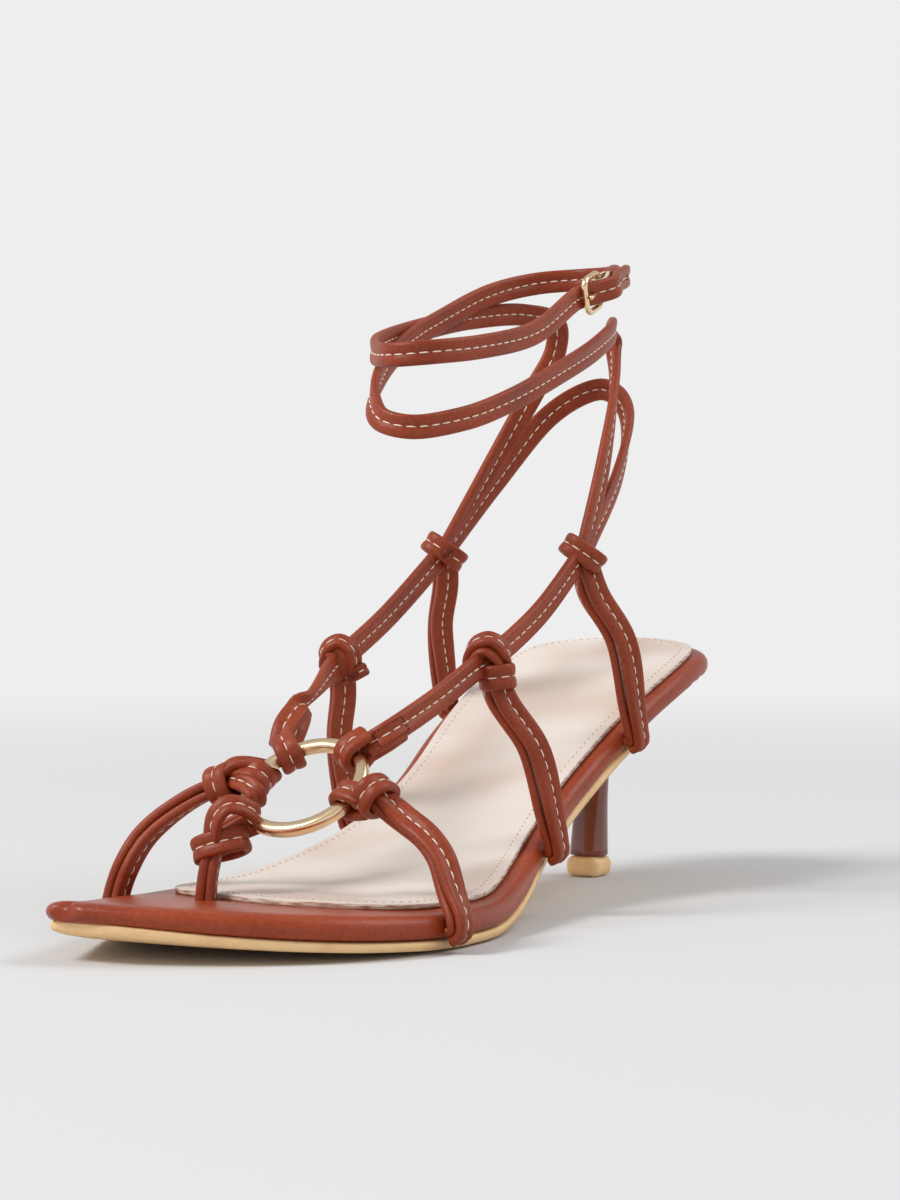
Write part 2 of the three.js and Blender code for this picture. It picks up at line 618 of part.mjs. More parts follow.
// Front straps: a pair on each side from the sole's edge up to its knot on the ring. `ahead`
// is how far their faces look ahead, as a share of the rise of the instep
const FRONT_STRAPS = [
  {
    name: 'front_strap_inner',
    side: -1,
    foot: 0.779,
    turn: 172,
    rows: [
      { along: 0.777, across: -0.472, up: 0.110, ahead: 0.00 },
      { along: 0.760, across: -0.438, up: 0.275, ahead: 0.10 },
      { along: 0.738, across: -0.360, up: 0.425, ahead: 0.20 },
      { along: 0.724, across: -0.288, up: 0.505, ahead: 0.20 },
    ],
    knot: { along: 0.721, across: -0.255, up: 0.525 },
  },
  {
    name: 'front_strap_outer',
    side: 1,
    foot: 0.760,
    turn: -14,
    rows: [
      { along: 0.750, across: 0.493, up: 0.085, ahead: 0.30 },
      { along: 0.741, across: 0.448, up: 0.240, ahead: 0.60 },
      { along: 0.736, across: 0.398, up: 0.330, ahead: 0.75 },
      { along: 0.731, across: 0.330, up: 0.400, ahead: 0.75 },
    ],
    knot: { along: 0.732, across: 0.235, up: 0.510 },
  },
];
const footRows = (share, side) => [FIT_GAP, 0.6 * FOOTBED_THICKNESS].map((lift) => (
  { place: besideFoot(share, side, lift), face: vec(side, 0, 0), spread: STACK }));
FRONT_STRAPS.forEach(({ name, side, foot, turn, rows, knot: place }) => {
  const at = overFoot(place);
  const outwards = (p, ahead) => (
    vec(p.x, -ahead * INSTEP_RISE, p.z - topside(foot)).normalize());
  const route = [
    ...footRows(foot, side),
    ...rows.map((row) => {
      const p = overFoot(row);
      return { place: p, face: outwards(p, row.ahead), spread: STACK };
    }),
    { place: at, face: vec(0, 0, 1), spread: STACK },
  ];
  const neck = route[route.length - 2].place.clone().sub(at);
  add(name, geometryOf(join([
    ...pair(route),
    knot(at, neck, vec(0, 1, 0)),
    turnOnRing(turn, at, 0.85 * at.distanceTo(onRing(turn).at)),
  ])), LEATHER, 0.45);
});

// Upper: the instep straps, the loops that hold them to the sole and the ankle strap,
// joined where they cross

// Loop from a knot down to the sole's edge: `down` is a share of that way, `out` how far it
// bows out and `spread` how far its two straps lie off the middle, in strap thicknesses.
// `twist` is the share of the side's own twist that their faces have there
const LOOP = [
  { down: 0.88, out: 0.2, spread: STACK, twist: 0.3 },
  { down: 0.50, out: 0.6, spread: 1.35 * STACK, twist: 1 },
  { down: 0.22, out: 0.3, spread: 1.2 * STACK, twist: 1 },
  { down: 0.00, out: 0.0, spread: STACK, twist: 0.7 },
];
const COLLAR_DOWN = 0.15; // collar of the loop under its knot, as a share of the way down
const COLLAR_WIDTH = 0.92 * KNOT_WIDTH;
const COLLAR_DEPTH = 0.8 * KNOT_DEPTH;

// Instep strap of each side, from its fold on the ring past both knots. `twist` turns the
// faces of its two loops to the back, or to the front where it is negative
const INSTEP = {
  inner: {
    side: -1,
    turn: 131,
    rows: [
      { along: 0.662, across: -0.136, up: 0.780, out: 0.45 },
      { along: 0.610, across: -0.180, up: 0.850, out: 0.70 },
      { along: 0.535, across: -0.230, up: 0.935, out: 0.90 },
      { along: 0.505, across: -0.252, up: 0.930, out: 0.90 },
      { along: 0.405, across: -0.260, up: 0.940, out: 0.90 },
      { along: 0.292, across: -0.247, up: 0.992, out: 0.95 },
    ],
    frontFoot: 0.432,
    rearFoot: 0.205,
    twist: 1.3,
  },
  outer: {
    side: 1,
    turn: 56,
    rows: [
      { along: 0.671, across: 0.173, up: 0.780, out: 0.60 },
      { along: 0.600, across: 0.215, up: 0.895, out: 0.80 },
      { along: 0.540, across: 0.235, up: 0.958, out: 0.85 },
      { along: 0.511, across: 0.237, up: 0.957, out: 0.85 },
      { along: 0.412, across: 0.248, up: 0.980, out: 0.90 },
      { along: 0.312, across: 0.247, up: 1.040, out: 0.95 },
    ],
    frontFoot: 0.464,
    rearFoot: 0.255,
    twist: -0.6,
  },
};
const FRONT_KNOT_ROW = 3;
const REAR_KNOT_ROW = 5;
const FOLD = 0.42; // the fold on the ring reaches this share of the way to the first row
const upper = [];
const knots = {};
Object.entries(INSTEP).forEach(([name, { side, turn, rows, frontFoot, rearFoot, twist }]) => {
  const fold = onRing(turn);
  const first = overFoot(rows[0]);
  const tilted = (out) => vec(side * out, -0.5 * (1 - out), 1 - out).normalize();
  const route = rows.map((row) => ({ place: overFoot(row), face: tilted(row.out) }));
  const start = fold.at.clone().add(first.clone().sub(fold.at).multiplyScalar(FOLD));
  upper.push(
    strap([{ place: start, face: tilted(0.3) }, ...route]),
    turnOnRing(turn, first, FOLD * first.distanceTo(fold.at)),
  );
  const front = route[FRONT_KNOT_ROW].place;
  const rear = route[REAR_KNOT_ROW].place;
  knots[name] = rear;
  [[front, frontFoot, FRONT_KNOT_ROW], [rear, rearFoot, REAR_KNOT_ROW]].forEach(([at, foot, row]) => {
    const way = at.clone().sub(route[row - 1].place);
    const top = besideFoot(foot, side, bodyAt(foot));
    const drops = LOOP.map(({ down, out, spread, twist: part }) => {
      const bow = vec(side * out * STRAP_THICKNESS, 0, 0);
      const face = vec(side, part * twist, 0).normalize();
      return { place: at.clone().lerp(top, down).add(bow), face, spread };
    });
    const collar = at.clone().lerp(top, COLLAR_DOWN);
    upper.push(
      ...pair([...footRows(foot, side), ...drops]),
      knot(at, way, vec(0, 0, 1)),
      knot(collar, top.clone().sub(at), vec(0, 1, 0), COLLAR_WIDTH, COLLAR_DEPTH),
    );
  });
});

// Ankle strap: the inner strand turns forward at the back, crosses the front and ends as
// the punched tail; the outer strand crosses lower, comes back and ends in the tab
const INNER_STRAND = [
  { along: 0.270, across: -0.475, up: 0.319 },
  { along: 0.216, across: -0.438, up: 0.479 },
  { along: 0.152, across: -0.300, up: 0.702 },
  { along: 0.132, across: -0.212, up: 0.809 },
  { along: 0.136, across: -0.200, up: 0.878 },
  { along: 0.172, across: -0.300, up: 0.899 },
  { along: 0.256, across: -0.425, up: 0.883 },
  { along: 0.368, across: -0.438, up: 0.840 },
  { along: 0.484, across: -0.325, up: 0.793 },
  { along: 0.554, across: -0.100, up: 0.761 },
  { along: 0.587, across: 0.120, up: 0.755 },
  { along: 0.576, across: 0.325, up: 0.761 },
  { along: 0.519, across: 0.450, up: 0.777 },
  { along: 0.421, across: 0.500, up: 0.819 },
];
const OUTER_STRAND = [
  { along: 0.288, across: 0.475, up: 0.340 },
  { along: 0.248, across: 0.450, up: 0.500 },
  { along: 0.181, across: 0.338, up: 0.713 },
  { along: 0.143, across: 0.225, up: 0.814 },
  { along: 0.150, across: 0.237, up: 0.856 },
  { along: 0.201, across: 0.370, up: 0.840 },
  { along: 0.279, across: 0.463, up: 0.787 },
  { along: 0.359, across: 0.500, up: 0.732 },
  { along: 0.470, across: 0.475, up: 0.649 },
  { along: 0.536, across: 0.400, up: 0.606 },
  { along: 0.585, across: 0.225, up: 0.585 },
  { along: 0.589, across: 0.050, up: 0.601 },
  { along: 0.568, across: -0.080, up: 0.640 },
  { along: 0.506, across: -0.240, up: 0.715 },
  { along: 0.412, across: -0.375, up: 0.803 },
  { along: 0.323, across: -0.412, up: 0.872 },
  { along: 0.230, across: -0.362, up: 0.947 },
  { along: 0.168, across: -0.225, up: 0.982 },
  { along: 0.146, across: 0.000, up: 0.991 },
  { along: 0.161, across: 0.225, up: 0.991 },
  { along: 0.190, across: 0.362, up: 0.991 },
];
const HEEL_LOOP = [
  { along: 0.270, across: -0.475, up: 0.319 },
  { along: 0.203, across: -0.425, up: 0.457 },
  { along: 0.128, across: -0.275, up: 0.633 },
  { along: 0.102, across: -0.125, up: 0.691 },
  { along: 0.095, across: 0.000, up: 0.707 },
  { along: 0.102, across: 0.125, up: 0.691 },
  { along: 0.128, across: 0.275, up: 0.633 },
  { along: 0.203, across: 0.425, up: 0.479 },
  { along: 0.288, across: 0.475, up: 0.340 },
];
const ankleRoute = (rows) => rows.map((row) => {
  const place = roundAnkle(row);
  return { place, face: awayFromAnkle(place) };
});
const fromKnot = (place, route) => [{ place, face: awayFromAnkle(place) }, ...route.slice(1)];
const innerRoute = fromKnot(knots.inner, ankleRoute(INNER_STRAND));
const outerRoute = fromKnot(knots.outer, ankleRoute(OUTER_STRAND));
const heelRoute = fromKnot(knots.inner, ankleRoute(HEEL_LOOP)).slice(0, -1);
heelRoute.push({ place: knots.outer, face: awayFromAnkle(knots.outer) });

// Fastening on the outer side: the outer strand ends at a tab that holds an elastic, and the
// elastic turns round the back bar of the buckle
const TAB = [
  { along: 0.194, across: 0.372, up: 0.990 },
  { along: 0.216, across: 0.422, up: 0.982 },
  { along: 0.243, across: 0.466, up: 0.969 },
];
const HINGE = { along: 0.272, across: 0.495, up: 0.948 };
const FRONT_BAR = { along: 0.314, across: 0.518, up: 0.916 };
const PRONG_WIRE = 0.7 * BUCKLE_WIRE;
const barRadius = BUCKLE_WIRE / 2;
const hinge = roundAnkle(HINGE);
const forward = roundAnkle(FRONT_BAR).sub(hinge).normalize();
const outward = awayFromAnkle(hinge);
outward.addScaledVector(forward, -outward.dot(forward)).normalize();
const upward = vec(0, 0, 0).crossVectors(outward, forward);
const frontBar = BUCKLE_LENGTH - BUCKLE_WIRE; // from the hinge
const inBuckle = (ahead, out, up = 0) => hinge.clone()
  .addScaledVector(forward, ahead)
  .addScaledVector(outward, out)
  .addScaledVector(upward, up);

const wireRing = (at, across, face, wire, count = 6) => Array.from({ length: count }, (_, n) => {
  const angle = ((n + 0.5) / count) * 2 * Math.PI;
  return at.clone()
    .addScaledVector(across, (wire / 2) * Math.cos(angle))
    .addScaledVector(face, (wire / 2) * Math.sin(angle));
});
const frameRings = roundedRectangle(
  BUCKLE_LENGTH - BUCKLE_WIRE,
  BUCKLE_WIDTH - BUCKLE_WIRE,
  BUCKLE_WIRE,
).map(({ x, y, out }) => wireRing(
  inBuckle(frontBar / 2 + x, 0, y),
  vec(0, 0, 0).addScaledVector(forward, out[0]).addScaledVector(upward, out[1]),
  outward,
  BUCKLE_WIRE,
));
add('buckle', loop(frameRings), PALE_GOLD, 0.2, 1);

// Prong: an eye round the back bar and a rod that lies on the front bar
const eyeRadius = barRadius + FIT_GAP + PRONG_WIRE / 2;
const EYE_STEPS = 12;
const eyeRings = Array.from({ length: EYE_STEPS }, (_, i) => {
  const angle = (i / EYE_STEPS) * 2 * Math.PI;
  const c = Math.cos(angle);
  const s = Math.sin(angle);
  const out = vec(0, 0, 0).addScaledVector(forward, c).addScaledVector(outward, s);
  return wireRing(hinge.clone().addScaledVector(out, eyeRadius), out, upward, PRONG_WIRE);
});
const prongRod = (wire) => {
  const from = inBuckle(eyeRadius, 0);
  const to = inBuckle(frontBar + barRadius, barRadius + FIT_GAP + PRONG_WIRE / 2);
  const along = to.clone().sub(from).normalize();
  const face = vec(0, 0, 0).crossVectors(upward, along);
  return solid(loft([wireRing(from, upward, face, wire), wireRing(to, upward, face, wire)]));
};
add('buckle_prong', geometryOf(solid(loop(eyeRings)).add(prongRod(PRONG_WIRE))), PALE_GOLD, 0.2, 1);

// Elastic with a slot for the prong's eye
const elasticWidth = 0.9 * STRAP_WIDTH;
const backward = forward.clone().negate();
const elasticRadius = barRadius + FIT_GAP + ELASTIC_THICKNESS / 2;
const ELASTIC_TURN = 1.5; // how far the turn is drawn out, as a share of its radius
const tabRoute = TAB.map((row) => {
  const place = roundAnkle(row);
  return { place, face: awayFromAnkle(place) };
});
const tabFront = tabRoute[tabRoute.length - 1];
const alongTab = tabFront.place.clone().sub(tabRoute[tabRoute.length - 2].place).normalize();
const elasticRoute = [
  { place: tabFront.place.clone().addScaledVector(alongTab, FIT_GAP), face: tabFront.face },
  { place: hinge.clone().addScaledVector(backward, ELASTIC_TURN * elasticRadius), face: outward },
];
const slotWidth = PRONG_WIRE + 2 * FIT_GAP;
const slotReach = eyeRadius + PRONG_WIRE / 2 + FIT_GAP;
const slotCorners = (ahead) => [[-1, -1], [1, -1], [1, 1], [-1, 1]].map(([out, up]) => (
  inBuckle(ahead, out * slotReach, (up * slotWidth) / 2)));
const slot = solid(loft([slotCorners(-slotReach), slotCorners(slotReach)]));
const elastic = turn(
  hinge,
  upward,
  backward,
  ELASTIC_TURN * elasticRadius,
  elasticRadius,
  elasticWidth,
  ELASTIC_THICKNESS,
);
const elasticBand = strap(elasticRoute, 0, elasticWidth, ELASTIC_THICKNESS);
add('elastic', geometryOf(elastic.add(elasticBand).subtract(slot)), ELASTIC_BEIGE, 0.8);
const tabThickness = 1.4 * STRAP_THICKNESS;
add('tab', geometryOf(strap(tabRoute, 0, STRAP_WIDTH, tabThickness)), LEATHER, 0.45);

// Tail of the inner strand: inside the front bar, through the frame, outside the elastic and
// the tab. The prong passes through its hole
const halfStrap = STRAP_THICKNESS / 2;
const overTab = FIT_GAP + tabThickness / 2 + halfStrap;
const overElastic = elasticRadius + ELASTIC_THICKNESS / 2 + 2 * FIT_GAP + halfStrap;
const underBar = -(barRadius + FIT_GAP + halfStrap);
const tailRoute = [
  { place: inBuckle(frontBar + 0.8 * STRAP_WIDTH, underBar), face: outward },
  { place: inBuckle(frontBar, underBar), face: outward },
  { place: inBuckle(frontBar / 2, mix(underBar, overElastic, 0.5)), face: outward },
  { place: inBuckle(0, overElastic), face: outward },
  ...tabRoute.slice().reverse().map(({ place, face }) => (
    { place: place.clone().addScaledVector(face, overTab), face })),
];
innerRoute.push(...tailRoute);
upper.push(strap(innerRoute), strap(outerRoute), strap(heelRoute));
const hole = prongRod(PRONG_WIRE + 2 * FIT_GAP);
add('upper', geometryOf(join(upper).subtract(hole)), LEATHER, 0.45);

export default sandal;
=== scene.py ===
import math

import bmesh
import bpy
import numpy as np
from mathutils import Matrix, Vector
from mathutils.bvhtree import BVHTree


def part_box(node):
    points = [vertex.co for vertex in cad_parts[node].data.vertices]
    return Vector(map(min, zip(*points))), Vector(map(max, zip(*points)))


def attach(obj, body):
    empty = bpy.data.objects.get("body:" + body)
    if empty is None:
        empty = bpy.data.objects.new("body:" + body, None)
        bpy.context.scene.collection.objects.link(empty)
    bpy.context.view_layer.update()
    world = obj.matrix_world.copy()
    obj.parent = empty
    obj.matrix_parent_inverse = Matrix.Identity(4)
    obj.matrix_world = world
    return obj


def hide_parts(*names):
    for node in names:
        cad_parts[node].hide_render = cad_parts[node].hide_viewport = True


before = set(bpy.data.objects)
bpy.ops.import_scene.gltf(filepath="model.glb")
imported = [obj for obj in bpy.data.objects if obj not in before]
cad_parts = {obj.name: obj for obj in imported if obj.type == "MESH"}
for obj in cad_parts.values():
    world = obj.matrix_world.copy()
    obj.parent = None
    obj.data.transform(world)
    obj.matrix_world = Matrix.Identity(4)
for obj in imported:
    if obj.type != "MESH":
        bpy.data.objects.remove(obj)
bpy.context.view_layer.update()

MM = 0.001

CAMERA_AT = Vector((385.3, -755.7, 94.5)) * MM
CAMERA_AIM = Vector((3.5, -77.0, 71.0)) * MM
FOCAL_LENGTH = 102.0
SENSOR = 36.0
FLOOR_SIZE = 12.0
PAPER_WHITE = 0.855
FLOOR_ALBEDO = 0.63
FADE_START, FADE_END = 0.24, 0.85
STUDIO_LIGHT = 0.52
WALL_AWAY, WALL_HEIGHT = 5.2, 3.4
bpy.context.scene.view_settings.view_transform = "Standard"


def aimed(place, target):
    return (Vector(target) - Vector(place)).to_track_quat("-Z", "Y").to_euler()


bpy.ops.object.select_all(action="DESELECT")
bpy.ops.object.camera_add(location=CAMERA_AT, rotation=aimed(CAMERA_AT, CAMERA_AIM))
camera = bpy.context.object
camera.data.sensor_fit = "VERTICAL"
camera.data.sensor_height = SENSOR
camera.data.lens = FOCAL_LENGTH
camera.data.clip_start = 0.01
bpy.context.scene.camera = camera


class Value:
    """A value in a material's node tree: arithmetic on it adds the Math nodes."""

    def __init__(self, tree, socket=None):
        self.tree, self.socket = tree, socket

    def make(self, kind, settings=None, inputs=None, output=0):
        node = self.tree.nodes.new("ShaderNode" + kind)
        for name, setting in (settings or {}).items():
            if name == "stops":
                ramp = node.color_ramp
                while len(ramp.elements) < len(setting):
                    ramp.elements.new(0.5)
                for element, (place, colour) in zip(ramp.elements, setting):
                    element.position, element.color = place, colour
            else:
                setattr(node, name, setting)
        for name, given in (inputs or {}).items():
            if isinstance(given, Value):
                self.tree.links.new(given.socket, node.inputs[name])
            else:
                node.inputs[name].default_value = given
        return Value(self.tree, node.outputs[output] if len(node.outputs) else None)

    def maths(self, operation, first, second=0.0):
        return self.make("Math", {"operation": operation}, {0: first, 1: second})

    def __add__(self, other):
        return self.maths("ADD", self, other)

    def __mul__(self, other):
        return self.maths("MULTIPLY", self, other)

    __radd__ = __add__
    __rmul__ = __mul__


def linear(red, green, blue):
    """A colour given as 0 to 255, as the nodes want it."""
    def one(v):
        v /= 255
        return v / 12.92 if v <= 0.04045 else ((v + 0.055) / 1.055) ** 2.4
    return (one(red), one(green), one(blue), 1.0)


def grey(level):
    return (level, level, level, 1.0)


def new_material(name):
    material = bpy.data.materials.new(name)
    material.use_nodes = True
    material.node_tree.nodes.clear()
    return material, Value(material.node_tree)


def put_out(start, shader):
    start.make("OutputMaterial", {}, {"Surface": shader})


def object_place(start):
    return start.make("TexCoord", {}, {}, "Object")


bpy.ops.mesh.primitive_plane_add(size=FLOOR_SIZE, location=(0, 0, 0))
floor = bpy.context.object
floor.name = "floor"
floor_finish, start = new_material("floor_paper")
away = start.make("VectorMath", {"operation": "LENGTH"}, {"Vector": object_place(start)}, "Value")
fade = start.make("MapRange", {"interpolation_type": "SMOOTHSTEP"}, {
    "Value": away, "From Min": FADE_START, "From Max": FADE_END})
paper = start.make("BsdfDiffuse", {}, {"Color": grey(FLOOR_ALBEDO)})
glow = start.make("Emission", {}, {"Color": grey(PAPER_WHITE)})
put_out(start, start.make("MixShader", {}, {0: fade, 1: paper, 2: glow}))
floor.data.materials.append(floor_finish)

world = bpy.data.worlds.new("studio")
bpy.context.scene.world = world
world.use_nodes = True
studio = world.node_tree.nodes["Background"]
studio.inputs["Color"].default_value = grey(STUDIO_LIGHT)

bpy.ops.mesh.primitive_cylinder_add(vertices=96, radius=WALL_AWAY, depth=WALL_HEIGHT,
                                    end_fill_type="NOTHING")
wall = bpy.context.object
wall.name = "backdrop"
wall_finish, start = new_material("backdrop_white")
put_out(start, start.make("Emission", {}, {"Color": grey(PAPER_WHITE)}))
wall.data.materials.append(wall_finish)

LIGHTS = (
    # name, place, size (m), power (W)
    ("key", (-1.1, -1.5, 1.9), 0.9, 46.0),
    ("fill", (1.5, 0.9, 2.0), 1.5, 24.0),
)
for name, place, size, power in LIGHTS:
    bpy.ops.object.light_add(type="AREA", location=place, rotation=aimed(place, (0, -0.08, 0.06)))
    lamp = bpy.context.object
    lamp.name = "light_" + name
    lamp.data.size = size
    lamp.data.energy = power

# Footbed. A thin shaped board wrapped in the strap leather, whose edge is full and round.
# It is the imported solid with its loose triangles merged, smoothed into the last's true curves,
# with the soft creases of the wrapped leather round the toe.
LEATHER_SHADE = linear(128, 48, 22)
LEATHER_COLOUR = linear(150, 60, 28)
LEATHER_LIGHT = linear(172, 78, 42)


def noise(start, place, scale, detail=2.0, roughness=0.5):
    return start.make("TexNoise", {}, {
        "Vector": place, "Scale": scale, "Detail": detail, "Roughness": roughness}, "Fac")


def ramp(start, factor, *stops):
    return start.make("ValToRGB", {"stops": stops}, {"Fac": factor}, "Color")


def bumped(start, height, strength, distance):
    return start.make("Bump", {}, {
        "Strength": strength, "Distance": distance, "Height": height}, "Normal")


def surface(start, sockets):
    put_out(start, start.make("BsdfPrincipled", {}, sockets))


def leather(name, grain=1.0, roughness=0.42, sheen=0.0, depth=1.0):
    """Smooth rust-tan calf: fine pebbled grain, slow mottling and a soft sheen."""
    material, start = new_material(name)
    place = object_place(start)
    cloud = noise(start, place, 60.0)
    fleck = noise(start, place, 900.0, 3.0, 0.6)
    pebble = start.make("TexVoronoi", {"feature": "SMOOTH_F1"}, {
        "Vector": place, "Scale": 2000.0, "Smoothness": 0.6}, "Distance")
    pore = start.make("TexVoronoi", {}, {"Vector": place, "Scale": 1100.0}, "Distance")
    tones = ((0.28, LEATHER_SHADE), (0.5, LEATHER_COLOUR), (0.8, LEATHER_LIGHT))
    tones = [(at, tuple(part * depth for part in colour[:3]) + (1.0,)) for at, colour in tones]
    height = pebble * 0.55 + pore * 0.3 + fleck * 0.5 + cloud * 0.9
    surface(start, {
        "Base Color": ramp(start, cloud * 0.5 + fleck * 0.5, *tones),
        "Roughness": roughness - 0.05 + cloud * 0.14,
        "Specular IOR Level": 0.3,
        "Coat Weight": sheen,
        "Coat Roughness": 0.3,
        "Normal": bumped(start, height, 0.5 * grain, 0.00014),
    })
    return material


SHARP = math.radians(40)


def smooth_copy(node, name, levels=2, crisp=0.0):
    """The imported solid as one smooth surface, made of a copy of its mesh. crisp keeps its edges."""
    bpy.ops.object.select_all(action="DESELECT")
    piece = bpy.data.objects.new(name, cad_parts[node].data.copy())
    bpy.context.scene.collection.objects.link(piece)
    piece.data.materials.clear()
    piece.select_set(True)
    bpy.context.view_layer.objects.active = piece
    bpy.ops.object.mode_set(mode="EDIT")
    bpy.ops.mesh.select_all(action="SELECT")
    bpy.ops.mesh.remove_doubles(threshold=0.00001)
    bpy.ops.mesh.normals_make_consistent(inside=False)
    bpy.ops.mesh.tris_convert_to_quads(face_threshold=math.radians(60), shape_threshold=math.radians(60))
    bpy.ops.object.mode_set(mode="OBJECT")
    shape = bmesh.new()
    shape.from_mesh(piece.data)
    crease = shape.edges.layers.float.new("crease_edge")
    for line in shape.edges:
        if len(line.link_faces) == 2 and line.calc_face_angle() > SHARP:
            line[crease] = crisp
    shape.to_mesh(piece.data)
    shape.free()
    round_off = piece.modifiers.new("round_off", "SUBSURF")
    round_off.levels = round_off.render_levels = levels
    bpy.ops.object.modifier_apply(modifier=round_off.name)
    bpy.ops.object.shade_smooth()
    return piece


def dress(piece, material, node):
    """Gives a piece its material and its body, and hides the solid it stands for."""
    piece.data.materials.append(material)
    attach(piece, "root")
    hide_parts(node)


def moved(piece, shift):
    """Moves every vertex of a piece by what shift gives for all their places at once."""
    places = np.empty(len(piece.data.vertices) * 3)
    piece.data.vertices.foreach_get("co", places)
    places = places.reshape(-1, 3)
    piece.data.vertices.foreach_set("co", (places + shift(places)).ravel())
    piece.data.update()


def lowered(piece, depth):
    """How far (m) the faces that look down move to give a piece more depth (mm)."""
    under = np.array([v.normal.z < -0.3 for v in piece.data.vertices])
    return np.stack([0 * under, 0 * under, under * depth * MM], 1)


# Each crease on the toe: its middle (mm), its direction, its half length and its depth
TOE_CREASES = (
    (-1.0, -163.0, 0.35, 9.0, 0.16),
    (4.0, -160.0, -0.25, 15.0, 0.16),
    (22.0, -158.0, 0.9, 10.0, 0.14),
    (6.0, -168.0, 0.55, 7.0, -0.12),
)
CREASE_WIDTH = 1.8


def toe_creases(places):
    x, y, z = (places / MM).T
    sink = np.zeros_like(x)
    for middle_x, middle_y, turn, half, depth in TOE_CREASES:
        along = (x - middle_x) * math.cos(turn) + (y - middle_y) * math.sin(turn)
        off = -(x - middle_x) * math.sin(turn) + (y - middle_y) * math.cos(turn)
        sink -= depth * np.exp(-((off / CREASE_WIDTH) ** 2) - (along / half) ** 4)
    on_top = np.clip((z - 4.0) / 2.0, 0, 1)
    return np.stack([0 * x, 0 * x, sink * on_top * MM], 1)


strap_leather = leather("strap_leather", depth=0.84)
footbed_leather = leather("footbed_leather", 1.1, 0.36, 0.06, 0.97)
footbed = smooth_copy("footbed", "footbed_board")
moved(footbed, toe_creases)
dress(footbed, footbed_leather, "footbed")

# Insole. A beige sock of thin lining leather glued on the footbed, its layered cut edge showing,
# with soft dents from pressing and a row of fine punched stitches just inside its edge.
INSOLE_COLOUR = linear(221, 212, 203)
# Pink tone: on the sock it is painted pinkish bounce light and shade from the straps, in soft patches; on
# the seam it is the thread's own pale pink
PINK_THREAD_AND_PAINTED_BOUNCE = linear(206, 180, 164)
INSOLE_EDGE = linear(168, 122, 92)
SEAM_COLOUR = linear(158, 128, 110)
DENTS = (
    # x, y, reach across, reach along (mm), depth
    (-9.0, -112.0, 9.0, 9.0, 1.0),
    (6.0, -96.0, 7.0, 12.0, 0.8),
    (20.0, -112.0, 7.0, 7.0, 0.9),
    (16.0, -133.0, 11.0, 5.0, 0.5),
    (-2.0, -74.0, 8.0, 10.0, 0.6),
    (3.0, -28.0, 12.0, 14.0, 0.30),
)

insole = smooth_copy("insole", "insole_sock", 2, 0.85)
moved(insole, lambda places: lowered(insole, -0.35))
moved(insole, lambda places: np.stack([
    np.zeros(len(places)),
    np.zeros(len(places)),
    -MM * sum(
        depth * np.exp(-((places[:, 0] / MM - x) / across) ** 2 - ((places[:, 1] / MM - y) / along) ** 2)
        for x, y, across, along, depth in DENTS
    ),
], 1))
sock_finish, start = new_material("sock_leather")
soft = noise(start, object_place(start), 34.0, 1.0)
grain = noise(start, object_place(start), 1500.0, 3.0, 0.6)
# The sock's beige is mottled with soft patches of painted pinkish bounce light and shade
surface(start, {
    "Base Color": ramp(start, soft * 0.85 + grain * 0.15, (0.34, PINK_THREAD_AND_PAINTED_BOUNCE), (0.56, INSOLE_COLOUR)),
    "Roughness": 0.48,
    "Specular IOR Level": 0.3,
    "Normal": bumped(start, soft * 0.9 + grain * 0.07, 0.45, 0.0009),
})
dress(insole, sock_finish, "insole")
EDGE_LOOK = 0.45


def drawn_out(start, height):
    """The object's place with its height scaled, for a grain that runs one way."""
    return start.make("Mapping", {}, {"Vector": object_place(start), "Scale": (1.0, 1.0, height)})


cut_finish, start = new_material("sock_cut_edge")
layer = noise(start, drawn_out(start, 9.0), 260.0, 3.0)
surface(start, {
    "Base Color": ramp(start, layer, (0.35, INSOLE_EDGE), (0.6, INSOLE_COLOUR)),
    "Roughness": 0.8,
})
insole.data.materials.append(cut_finish)
for polygon in insole.data.polygons:
    if polygon.normal.z < EDGE_LOOK:
        polygon.material_index = 1


def unit(v):
    v = np.asarray(v, float)
    return v / max(np.linalg.norm(v), 1e-9)


def grid_mesh(rings, closed=False):
    """Points and faces through rings of points that all have the same count."""
    rings = np.asarray(rings, float)
    count, sides = rings.shape[:2]
    faces = []
    for r in range(count if closed else count - 1):
        onward = (r + 1) % count
        for c in range(sides):
            after = (c + 1) % sides
            faces.append((r * sides + c, r * sides + after, onward * sides + after, onward * sides + c))
    if not closed:
        faces.append(tuple(range(sides))[::-1])
        faces.append(tuple((count - 1) * sides + c for c in range(sides)))
    return rings.reshape(-1, 3).tolist(), faces


def mesh_piece(name, points, faces):
    """A piece of the object from points and faces, facing outwards and smooth."""
    mesh = bpy.data.meshes.new(name)
    mesh.from_pydata(points, [], faces)
    shape = bmesh.new()
    shape.from_mesh(mesh)
    bmesh.ops.recalc_face_normals(shape, faces=shape.faces)
    shape.to_mesh(mesh)
    shape.free()
    mesh.shade_smooth()
    piece = bpy.data.objects.new(name, mesh)
    bpy.context.scene.collection.objects.link(piece)
    return piece


class Heap:
    """Gathers the meshes that make one piece."""

    def __init__(self):
        self.points, self.faces = [], []

    def put(self, made):
        for points, faces in (made if isinstance(made, list) else [made]):
            self.faces += [tuple(i + len(self.points) for i in f) for f in faces]
            self.points += points

    def piece(self, name, material, node, slot):
        made = mesh_piece(name, self.points, self.faces)
        dress(made, material, node)
        return made


